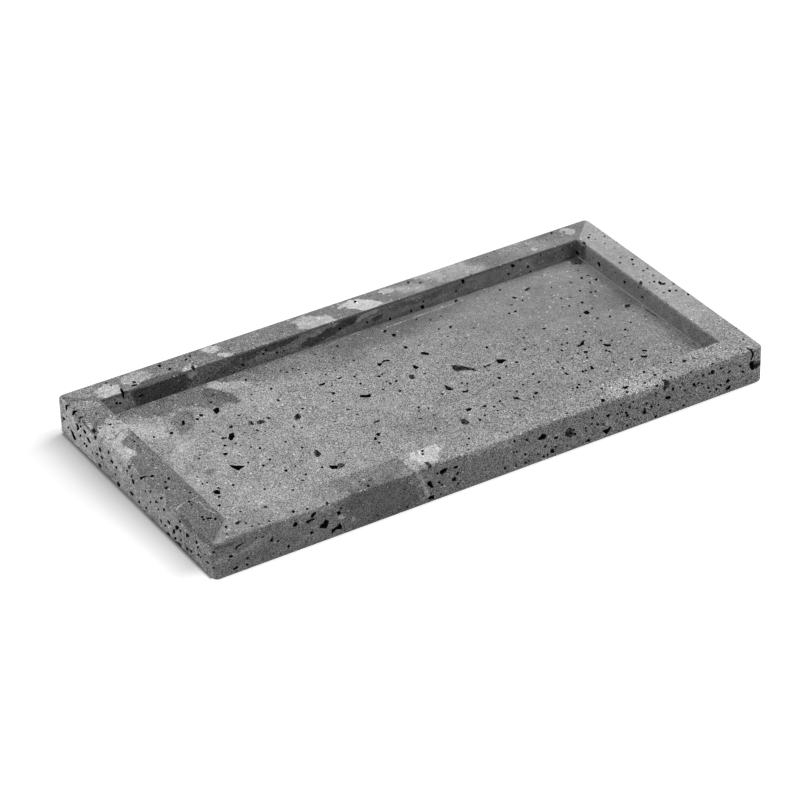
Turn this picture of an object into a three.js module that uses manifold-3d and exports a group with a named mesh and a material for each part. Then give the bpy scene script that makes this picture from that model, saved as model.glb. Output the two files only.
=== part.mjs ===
// Travertine tray: four mitred stone rails bonded round an inset stone floor slab, on felt pads.
// Millimetres, +Z up, +X along the length. The origin lies on the surface that the tray stands
// on, under the middle of the tray.
import * as THREE from "three";
import { mergeVertices } from "three/addons/utils/BufferGeometryUtils.js";
import Module from "manifold-3d";

const wasm = await Module();
wasm.setup();

// Stone sizes
const TRAY_LENGTH = 300;
const TRAY_WIDTH = 150;
const RAIL_HEIGHT = 20;
const RAIL_WIDTH = 15.5;
const RECESS_DEPTH = 9.5; // from the rim down to the floor
const SLAB_SETBACK = 0.5; // the slab's underside lies this far above the rails' undersides
const CORNER_RADIUS = 3; // upright outer corners, seen from above
const TOP_EDGE_RADIUS = 1; // outer edges of the rim
const LOW_EDGE_RADIUS = 2; // outer edges of the underside
const RIM_EASING = 0.6; // chamfer along the inner edge of the rim

// Adhesive sizes
const MITRE_JOINT = 0.5; // space between two mitred faces
const SLAB_JOINT = 0.5; // space between the slab's edges and the rails
const BOND_SETBACK = 0.4; // the adhesive round the slab stays this far inside its two faces
const FIT_CLEARANCE = 0.05; // left between a bonded face and its adhesive

// Foot sizes
const PAD_DIAMETER = 10;
const PAD_THICKNESS = 1;
const PAD_INSET = 26; // from the tray's end to a pad's centre

// Steps of the round stretches, and how far a cutting solid reaches past what it cuts
const CORNER_STEPS = 10;
const EDGE_STEPS = 6;
const PAD_STEPS = 48;
const CUT_MARGIN = 5;

// Sizes that follow from those above
const SLAB_TOP = RAIL_HEIGHT - RECESS_DEPTH;
const SLAB_THICKNESS = SLAB_TOP - SLAB_SETBACK;
const RECESS_LENGTH = TRAY_LENGTH - 2 * RAIL_WIDTH;
const RECESS_WIDTH = TRAY_WIDTH - 2 * RAIL_WIDTH;
const PAD_SIDE_INSET = (LOW_EDGE_RADIUS + RAIL_WIDTH) / 2; // middle of a rail's flat underside

// Finishes
const HONED_STONE = { color: 0x8f8f8f, roughness: 0.6, metalness: 0 };
const CURED_ADHESIVE = { color: 0xa6a6a2, roughness: 0.4, metalness: 0 };
const GREY_FELT = { color: 0x4a4a4a, roughness: 0.95, metalness: 0 };

// A closed geometry as a solid that can be joined and cut.
function solidOf(geometry) {
  const bare = geometry.clone();
  bare.deleteAttribute("normal");
  bare.deleteAttribute("uv");
  const merged = mergeVertices(bare);
  const mesh = new wasm.Mesh({
    numProp: 3,
    vertProperties: merged.attributes.position.array,
    triVerts: new Uint32Array(merged.index.array),
  });
  return new wasm.Manifold(mesh);
}

// A solid back as a geometry with its normals.
function geometryOf(solid) {
  const mesh = solid.getMesh();
  const geometry = new THREE.BufferGeometry();
  geometry.setAttribute("position", new THREE.BufferAttribute(mesh.vertProperties, 3));
  geometry.setIndex(new THREE.BufferAttribute(mesh.triVerts, 1));
  geometry.computeVertexNormals();
  return geometry;
}

// An upright prism over an outline, as a solid between two heights.
function prism(points, low, high) {
  const outline = new THREE.Shape(points.map(([x, y]) => new THREE.Vector2(x, y)));
  const geometry = new THREE.ExtrudeGeometry(outline, { depth: high - low, bevelEnabled: false });
  return solidOf(geometry.translate(0, 0, low));
}

// A rectangle with rounded corners, centred on the origin.
function roundedRectangle(length, width, radius) {
  const points = [];
  const centreX = length / 2 - radius;
  const centreY = width / 2 - radius;
  const quarters = [[1, 1], [-1, 1], [-1, -1], [1, -1]];
  quarters.forEach(([signX, signY], quarter) => {
    for (let step = 0; step <= CORNER_STEPS; step += 1) {
      const angle = ((quarter + step / CORNER_STEPS) * Math.PI) / 2;
      const x = signX * centreX + radius * Math.cos(angle);
      const y = signY * centreY + radius * Math.sin(angle);
      points.push(new THREE.Vector2(x, y));
    }
  });
  return new THREE.Shape(points);
}

// An upright prism with the tray's rounded corners, and with its edges above and below rounded too.
function roundedPrism(along, across, edgeRadius, low, high) {
  const geometry = new THREE.ExtrudeGeometry(roundedRectangle(along, across, CORNER_RADIUS), {
    depth: high - low - 2 * edgeRadius,
    bevelThickness: edgeRadius,
    bevelSize: edgeRadius,
    bevelOffset: -edgeRadius,
    bevelSegments: EDGE_STEPS,
  });
  return solidOf(geometry.translate(0, 0, low + edgeRadius));
}

// The tray's outer form, with its corners and outer edges rounded, standing on z = 0.
function roundedBlank(along, across) {
  const rim = roundedPrism(along, across, TOP_EDGE_RADIUS, -CUT_MARGIN, RAIL_HEIGHT);
  const foot = roundedPrism(along, across, LOW_EDGE_RADIUS, 0, RAIL_HEIGHT + CUT_MARGIN);
  return rim.intersect(foot);
}

// What the easing of the rim's inner edge takes away: a flare that opens upwards at 45 degrees.
function rimFlare(along, across) {
  const spread = RIM_EASING + CUT_MARGIN;
  const halfX = along / 2 - RAIL_WIDTH + spread;
  const halfY = across / 2 - RAIL_WIDTH + spread;
  const corners = [[halfX, halfY], [-halfX, halfY], [-halfX, -halfY], [halfX, -halfY]];
  const outline = new THREE.Shape(corners.map(([x, y]) => new THREE.Vector2(x, y)));
  const geometry = new THREE.ExtrudeGeometry(outline, {
    depth: CUT_MARGIN,
    bevelThickness: spread,
    bevelSize: spread,
    bevelOffset: -spread,
    bevelSegments: 1,
  });
  return solidOf(geometry.translate(0, 0, RAIL_HEIGHT - RIM_EASING + spread));
}

// The rail on the -Y side of a tray of this length and width, cut to a mitre at both ends.
function railGeometry(along, across) {
  const mitreGap = (MITRE_JOINT / 2) * Math.SQRT2; // half the joint, measured along the rail
  const outerX = along / 2 + CUT_MARGIN - mitreGap;
  const outerY = -across / 2 - CUT_MARGIN;
  const innerX = along / 2 - RAIL_WIDTH - mitreGap;
  const innerY = -across / 2 + RAIL_WIDTH;
  const plan = [[-outerX, outerY], [outerX, outerY], [innerX, innerY], [-innerX, innerY]];
  const wedge = prism(plan, -CUT_MARGIN, RAIL_HEIGHT + CUT_MARGIN);
  return geometryOf(roundedBlank(along, across).intersect(wedge).subtract(rimFlare(along, across)));
}

// The adhesive in the mitre at the +X, -Y corner, flush with the stone all round.
function mitreBondGeometry(along, across) {
  const half = (MITRE_JOINT / 2 - FIT_CLEARANCE) * Math.SQRT1_2;
  const startX = along / 2 - RAIL_WIDTH;
  const startY = -across / 2 + RAIL_WIDTH;
  const reach = RAIL_WIDTH + CUT_MARGIN;
  const plan = [
    [startX - half, startY - half],
    [startX + reach - half, startY - reach - half],
    [startX + reach + half, startY - reach + half],
    [startX + half, startY + half],
  ];
  const strip = prism(plan, -CUT_MARGIN, RAIL_HEIGHT + CUT_MARGIN);
  return geometryOf(roundedBlank(along, across).intersect(strip).subtract(rimFlare(along, across)));
}

// The adhesive between the slab and the rail on the -Y side. It starts at the recess's -X corner
// and stops short of the next strip at the other end.
function slabBondGeometry(along) {
  const length = along - 2 * RAIL_WIDTH - SLAB_JOINT - 2 * FIT_CLEARANCE;
  const thickness = SLAB_JOINT - 2 * FIT_CLEARANCE;
  return new THREE.BoxGeometry(length, thickness, SLAB_THICKNESS - 2 * BOND_SETBACK);
}

// One piece of the tray, with a material of its own.
function namedMesh(name, geometry, finish) {
  const mesh = new THREE.Mesh(geometry, new THREE.MeshStandardMaterial(finish));
  mesh.name = name;
  return mesh;
}

const tray = new THREE.Group();
tray.name = "travertine_tray";

// The stone and its adhesive stand on the pads
const body = new THREE.Group();
body.position.z = PAD_THICKNESS + FIT_CLEARANCE;
tray.add(body);

const slabSize = [RECESS_LENGTH - 2 * SLAB_JOINT, RECESS_WIDTH - 2 * SLAB_JOINT, SLAB_THICKNESS];
const slab = namedMesh("floor_slab", new THREE.BoxGeometry(...slabSize), HONED_STONE);
slab.position.z = SLAB_SETBACK + SLAB_THICKNESS / 2;
body.add(slab);

// Each side's rail, the adhesive under its inner face and the mitre at its right-hand end
const sides = [
  { name: "front", corner: "front_right", along: TRAY_LENGTH, across: TRAY_WIDTH },
  { name: "right", corner: "back_right", along: TRAY_WIDTH, across: TRAY_LENGTH },
  { name: "back", corner: "back_left", along: TRAY_LENGTH, across: TRAY_WIDTH },
  { name: "left", corner: "front_left", along: TRAY_WIDTH, across: TRAY_LENGTH },
];
sides.forEach(({ name, corner, along, across }, quarter) => {
  const side = new THREE.Group();
  side.rotation.z = (quarter * Math.PI) / 2;
  body.add(side);
  side.add(namedMesh(`${name}_rail`, railGeometry(along, across), HONED_STONE));
  side.add(namedMesh(`mitre_bond_${corner}`, mitreBondGeometry(along, across), CURED_ADHESIVE));
  const slabBond = namedMesh(`slab_bond_${name}`, slabBondGeometry(along), CURED_ADHESIVE);
  slabBond.position.x = -SLAB_JOINT / 2;
  slabBond.position.y = -across / 2 + RAIL_WIDTH + SLAB_JOINT / 2;
  slabBond.position.z = slab.position.z;
  side.add(slabBond);
});

// A felt pad under each end of the front and back rails
const padX = TRAY_LENGTH / 2 - PAD_INSET;
const padY = TRAY_WIDTH / 2 - PAD_SIDE_INSET;
const padShape = [PAD_DIAMETER / 2, PAD_DIAMETER / 2, PAD_THICKNESS, PAD_STEPS];
for (const [endName, endSign] of [["left", -1], ["right", 1]]) {
  for (const [sideName, sideSign] of [["front", -1], ["back", 1]]) {
    const disc = new THREE.CylinderGeometry(...padShape);
    const pad = namedMesh(`foot_pad_${sideName}_${endName}`, disc, GREY_FELT);
    pad.rotation.x = Math.PI / 2;
    pad.position.set(endSign * padX, sideSign * padY, PAD_THICKNESS / 2);
    tray.add(pad);
  }
}

export default tray;
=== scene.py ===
"""Travertine tray: pitted and clouded stone, its adhesive and its felt pads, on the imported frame.

Blender works in metres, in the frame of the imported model. Sizes are written in millimetres, and MM
turns them into metres. Landmarks of the stone are set by the pixel of the photograph at which they
show, and are carried from there to the face of the tray that they lie on.
"""

import logging
import math
import random
from collections.abc import Callable, Iterable, Iterator, Mapping, Sequence
from contextlib import contextmanager
from dataclasses import dataclass, field
from enum import Enum, auto

import bmesh
import bpy
from mathutils import Matrix, Vector

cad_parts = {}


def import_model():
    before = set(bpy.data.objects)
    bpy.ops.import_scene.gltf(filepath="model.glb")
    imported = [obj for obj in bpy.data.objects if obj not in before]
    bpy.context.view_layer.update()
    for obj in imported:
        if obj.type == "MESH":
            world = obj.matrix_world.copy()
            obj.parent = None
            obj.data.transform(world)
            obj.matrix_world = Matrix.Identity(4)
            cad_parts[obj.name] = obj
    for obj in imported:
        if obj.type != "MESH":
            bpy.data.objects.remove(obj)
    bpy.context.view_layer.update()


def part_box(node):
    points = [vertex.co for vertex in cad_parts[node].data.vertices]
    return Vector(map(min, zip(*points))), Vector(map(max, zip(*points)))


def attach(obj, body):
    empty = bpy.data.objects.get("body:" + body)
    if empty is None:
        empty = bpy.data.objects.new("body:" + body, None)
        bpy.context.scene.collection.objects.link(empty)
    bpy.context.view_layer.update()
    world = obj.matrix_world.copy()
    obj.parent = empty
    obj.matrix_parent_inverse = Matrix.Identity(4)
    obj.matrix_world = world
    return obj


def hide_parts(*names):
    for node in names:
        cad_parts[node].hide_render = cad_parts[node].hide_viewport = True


Piece = bpy.types.Object
Material = bpy.types.Material
Span = tuple[float, float]
Pixel = tuple[float, float]
Brink = tuple[float, ...]  # the columns and rows of pixels, in turn

LOG = logging.getLogger("travertine_tray")
MM = 0.001
WELD = 1e-7  # metres, for cuts and merged points
LEVEL = 1e-3  # mm within which two places count as one
UP = Vector((0.0, 0.0, 1.0)).freeze()


class Side(Enum):
    """The tray's sides, as quarter turns from the front."""

    FRONT = 0
    RIGHT = 1
    BACK = 2
    LEFT = 3

    def turned(self, vector: Vector) -> Vector:
        """Turns a vector from the front of the tray to this side."""
        return Matrix.Rotation(self.value * math.pi / 2, 3, "Z") @ vector

    def turned_back(self, vector: Vector) -> Vector:
        """Turns a vector from this side to the front of the tray."""
        return Matrix.Rotation(-self.value * math.pi / 2, 3, "Z") @ vector

    @property
    def label(self) -> str:
        """The side's name in the names of pieces."""
        return self.name.lower()


class Face(Enum):
    """The faces and edges of the stone that carry pits and clouds."""

    RIM = auto()
    FLOOR = auto()
    FRONT = auto()
    RIGHT = auto()
    BACK = auto()
    LEFT = auto()
    INNER_FRONT = auto()
    INNER_RIGHT = auto()
    INNER_BACK = auto()
    INNER_LEFT = auto()
    RAIL_UNDERSIDE = auto()
    SLAB_UNDERSIDE = auto()
    FRONT_TOP_EDGE = auto()
    RIGHT_TOP_EDGE = auto()
    BACK_TOP_EDGE = auto()
    LEFT_TOP_EDGE = auto()
    FRONT_LOW_EDGE = auto()
    LEFT_LOW_EDGE = auto()


class Lining(Enum):
    """What the inside of a hollow shows: the stone itself, a black crust that is partly painted shade, or
    grey crystals.
    """

    STONE = 0
    CRUST = 1
    SPAR = 2


@dataclass(frozen=True)
class Plane:
    """A face of the tray: a point in mm, its outward normal, and the direction that is along it."""

    point: Vector
    normal: Vector
    along: Vector

    def frame(self, turn: float) -> Matrix:
        """Gives the axes along, across and out of the face.

        Args:
            turn: degrees that the first two axes are turned about the normal.

        Returns:
            A 3 x 3 matrix with the axes as its columns.
        """
        along = Matrix.Rotation(math.radians(turn), 3, self.normal) @ self.along
        across = self.normal.cross(along)
        return Matrix((along, across, self.normal)).transposed()

    def at(self, along: float, across: float) -> Vector:
        """The point of the face at two distances in mm from its own point."""
        return self.frame(0.0) @ Vector((along, across, 0.0)) + self.point


@dataclass(frozen=True)
class TraySizes:
    """The tray's sizes in mm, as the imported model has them."""

    length: float
    width: float
    stone_bottom: float
    rim_top: float
    floor_top: float
    slab_bottom: float
    rail_width: float
    corner_radius: float = 3.0
    top_edge_radius: float = 1.0
    low_edge_radius: float = 2.0
    rim_easing: float = 0.6
    mitre_joint: float = 0.5
    slab_joint: float = 0.5
    fit_clearance: float = 0.05

    @classmethod
    def of_frame(cls) -> "TraySizes":
        """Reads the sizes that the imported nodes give.

        Returns:
            The sizes in mm.
        """
        rail_low, rail_high = (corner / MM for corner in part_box("front_rail"))
        slab_low, slab_high = (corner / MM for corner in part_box("floor_slab"))
        return cls(
            length=(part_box("right_rail")[1].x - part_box("left_rail")[0].x) / MM,
            width=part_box("back_rail")[1].y / MM - rail_low.y,
            stone_bottom=rail_low.z,
            rim_top=rail_high.z,
            floor_top=slab_high.z,
            slab_bottom=slab_low.z,
            rail_width=rail_high.y - rail_low.y,
        )

    @property
    def half(self) -> Vector:
        """Half the tray's length and width."""
        return Vector((self.length / 2, self.width / 2, 0.0))

    def reach(self, side: Side) -> tuple[float, float]:
        """Half the tray along a side, and from its middle to that side."""
        sizes = (self.half.x, self.half.y)
        return sizes if side in (Side.FRONT, Side.BACK) else sizes[::-1]

    def planes(self) -> dict[Face, Plane]:
        """Places every face, with edges as planes that lean between two faces.

        Returns:
            The planes, by face.
        """
        ahead = Vector((1.0, 0.0, 0.0))
        middle = (self.stone_bottom + self.rim_top) / 2
        rounding = 1.0 - math.sqrt(0.5)  # the share of its radius that a rounding takes off an edge
        top_arc = self.top_edge_radius * rounding
        low_arc = self.low_edge_radius * rounding
        made = {
            Face.RIM: Plane(UP * self.rim_top, UP, ahead),
            Face.FLOOR: Plane(UP * self.floor_top, UP, ahead),
            Face.RAIL_UNDERSIDE: Plane(UP * self.stone_bottom, -UP, ahead),
            Face.SLAB_UNDERSIDE: Plane(UP * self.slab_bottom, -UP, ahead),
        }
        for side in Side:
            out = side.turned(Vector((0.0, -1.0, 0.0)))
            along = side.turned(ahead)
            reach = self.reach(side)[1]
            wall = out * (reach - self.rail_width) + UP * middle
            top_edge = out * (reach - top_arc) + UP * (self.rim_top - top_arc)
            made[Face[side.name]] = Plane(out * reach + UP * middle, out, along)
            made[Face[f"INNER_{side.name}"]] = Plane(wall, -out, -along)
            made[Face[f"{side.name}_TOP_EDGE"]] = Plane(top_edge, (out + UP).normalized(), along)
            if side in (Side.FRONT, Side.LEFT):
                low_edge = out * (reach - low_arc) + UP * (self.stone_bottom + low_arc)
                made[Face[f"{side.name}_LOW_EDGE"]] = Plane(low_edge, (out - UP).normalized(), along)
        return made


@dataclass(frozen=True)
class PhotoCamera:
    """The photograph's camera, solved on the tray's edges. Lengths in mm, angles in degrees."""

    azimuth: float = -30.665
    elevation: float = 32.062
    roll: float = -1.883
    distance: float = 1735.006
    target: tuple[float, float, float] = (-2.171, 8.582, 1.05)
    lens: float = 163.816
    sensor: float = 36.0
    image_size: float = 800.0
    clip: Span = (0.01, 50.0)  # the nearest and the furthest that it sees, in metres

    def axes(self) -> Matrix:
        """Gives the camera's axes.

        Returns:
            A 3 x 3 matrix with its right, up and backward directions as columns.
        """
        azimuth, elevation, roll = map(math.radians, (self.azimuth, self.elevation, self.roll))
        level = math.cos(elevation)
        back = Vector((math.sin(azimuth) * level, -math.cos(azimuth) * level, math.sin(elevation)))
        right = UP.cross(back).normalized()
        up = back.cross(right)
        turned_right = math.cos(roll) * right + math.sin(roll) * up
        turned_up = math.cos(roll) * up - math.sin(roll) * right
        return Matrix((turned_right, turned_up, back)).transposed()

    def position(self) -> Vector:
        """Where the camera stands, in mm."""
        return Vector(self.target) + self.axes().col[2] * self.distance

    def spot(self, pixel_x: float, pixel_y: float, plane: Plane) -> Vector:
        """Finds the point of a face that shows at a pixel.

        Args:
            pixel_x: the pixel's column in the photograph.
            pixel_y: the pixel's row in the photograph.
            plane: the face.

        Returns:
            The point in mm.
        """
        focal = self.lens / self.sensor * self.image_size
        middle = self.image_size / 2
        ray = self.axes() @ Vector(((pixel_x - middle) / focal, (middle - pixel_y) / focal, -1.0))
        start = self.position()
        reach = (plane.point - start).dot(plane.normal) / ray.dot(plane.normal)
        return start + ray * reach

    def place(self) -> None:
        """Adds the scene's camera."""
        lens = bpy.data.cameras.new("photo_camera")
        lens.lens = self.lens
        lens.sensor_width = self.sensor
        lens.clip_start, lens.clip_end = self.clip
        camera = bpy.data.objects.new("photo_camera", lens)
        camera.matrix_world = Matrix.Translation(self.position() * MM) @ self.axes().to_4x4()
        bpy.context.collection.objects.link(camera)
        bpy.context.scene.camera = camera


# Pits in the stone

# How far pits lean from the along direction of a face, in degrees: the bedding of the stone
LEAN = {
    Face.RIM: -31.0,
    Face.FLOOR: -31.0,
    Face.FRONT: -17.0,
    Face.LEFT: -40.0,
    Face.INNER_BACK: 17.0,
}


@dataclass(frozen=True)
class Hollow:
    """A pit in place: its middle in mm, its axes, its half sizes in mm and what it shows inside."""

    middle: Vector
    axes: Matrix
    half: Vector
    lining: Lining
    form: int = 0  # which of the cutter's forms it has, where it has no outline
    outline: tuple[Vector, ...] = ()  # in mm from the middle, along the first two axes

    @property
    def radius(self) -> float:
        """How far the hollow reaches from its middle."""
        return self.half.length if self.outline else max(self.half) * PitCutter.FORM_REACH

    def matrix(self) -> Matrix:
        """The matrix that carries a form of unit radius to the hollow, in metres."""
        stretch = Matrix.Diagonal(self.half * MM).to_4x4()
        return Matrix.Translation(self.middle * MM) @ self.axes.to_4x4() @ stretch

    def clear_of(self, others: Iterable["Hollow"]) -> bool:
        """Whether the hollow touches none of the others."""
        return all(
            (self.middle - other.middle).length > self.radius + other.radius for other in others
        )


# A pit's depth: a share of its half size, and the least depth in mm
CAVITY_DEPTH = {Lining.CRUST: (1.2, 0.5), Lining.SPAR: (0.6, 0.3), Lining.STONE: (0.9, 0.3)}
BRINK_EDGE = 0.38  # pixels from a brink as it is read to the real edge of the pit


@dataclass(frozen=True)
class Cavity:
    """A pit that shows in the photograph: the pixels round its brink, and what it shows inside."""

    brink: Brink
    lining: Lining

    def _grown(self) -> list[Vector]:
        """Moves the brink outwards by the soft edge that its pixels leave out.

        Returns:
            The corners, in pixels.
        """
        corners = [Vector(pixel) for pixel in zip(self.brink[::2], self.brink[1::2])]
        turns = [corners[index - 1].cross(corner) for index, corner in enumerate(corners)]
        hand = math.copysign(BRINK_EDGE, sum(turns))
        made = []
        for index, corner in enumerate(corners):
            along = corners[(index + 1) % len(corners)] - corners[index - 1]
            made.append(corner + Vector((along.y, -along.x)).normalized() * hand)
        return made

    def placed(self, plane: Plane, camera: PhotoCamera) -> Hollow:
        """Carries the pit to its face.

        Args:
            plane: the face that the pit lies on.
            camera: the photograph's camera.

        Returns:
            The pit in place.
        """
        spots = [camera.spot(x, y, plane) for x, y in self._grown()]
        middle = sum(spots, Vector((0.0, 0.0, 0.0))) / len(spots)
        axes = plane.frame(0.0)
        outline = tuple(axes.transposed() @ (spot - middle) for spot in spots)
        half_length = max(abs(point.x) for point in outline)
        half_width = max(abs(point.y) for point in outline)
        share, least = CAVITY_DEPTH[self.lining]
        depth = share * math.sqrt(half_length * half_width) + least
        half = Vector((half_length, half_width, depth))
        return Hollow(middle, axes, half, self.lining, outline=outline)


# Pixels across a small pit, and up and down it
DOT_SIZE = {Face.FLOOR: (2.2, 1.5), Face.RIM: (2.2, 1.5), Face.LEFT: (1.5, 2.3)}
PLAIN_DOT = (1.9, 1.9)
DOT_CORNERS = 6
DOT_SCALE = (0.75, 1.3)  # the smallest and the largest of them against that
DOT_SPREAD = 0.3  # the most by which a corner of a small pit strays, as a share of its radius


def dot(face: Face, pixel: Pixel, lining: Lining) -> Cavity:
    """A small ragged pit of a face round a pixel of the photograph.

    Args:
        face: the face that it lies on.
        pixel: its middle in the photograph.
        lining: what it shows inside.

    Returns:
        The pit, ragged in a way that its pixel sets.
    """
    pixel_x, pixel_y = pixel
    draw = random.Random(round(10 * pixel_x + pixel_y))
    width, height = DOT_SIZE.get(face, PLAIN_DOT)
    size = draw.uniform(*DOT_SCALE) / 2
    brink: list[float] = []
    for corner in range(DOT_CORNERS):
        angle = 2 * math.pi * corner / DOT_CORNERS
        radius = size * (1.0 + draw.uniform(-DOT_SPREAD, DOT_SPREAD))
        x = pixel_x + width * radius * math.cos(angle)
        y = pixel_y + height * radius * math.sin(angle)
        brink += (x, y)
    return Cavity(tuple(brink), lining)


SMALL_BIAS = 2.2  # how strongly strewn pits tend to be small


@dataclass(frozen=True)
class Scatter:
    """Small pits or chips strewn over a stretch of a face. Distances in mm from the face's point."""

    face: Face
    along: Span
    across: Span
    count: int
    size: Span
    seed: int
    stretch: float = 1.6  # length over width
    depth: float = 0.7  # depth over width
    turn_spread: float = 25.0
    lining: Lining = Lining.CRUST

    def strewn(self, plane: Plane) -> list[Hollow]:
        """Strews the pits, with many small ones and few large ones.

        Args:
            plane: the face that they lie on.

        Returns:
            The pits in place.
        """
        draw = random.Random(self.seed)
        made = []
        for _ in range(self.count):
            spot = plane.at(draw.uniform(*self.along), draw.uniform(*self.across))
            smallest, largest = self.size
            width = smallest * (largest / smallest) ** (draw.random() ** SMALL_BIAS)
            length = width * draw.uniform(1.0, self.stretch)
            lean = LEAN.get(self.face, 0.0) + draw.uniform(-1.0, 1.0) * self.turn_spread
            hollow = Hollow(
                middle=spot,
                axes=plane.frame(lean),
                half=Vector((length / 2, width / 2, width * self.depth)),
                lining=self.lining,
                form=draw.randrange(len(PitCutter.FORM_SEEDS)),
            )
            made.append(hollow)
        return made


def edge_chips(face: Face, along: Span, count: int, size: Span, seed: int) -> Scatter:
    """Shallow chips along a top edge, which show the stone itself."""
    return Scatter(face, along, (-0.5, 0.5), count, size, seed, 2.6, 0.4, 30.0, Lining.STONE)


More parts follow.
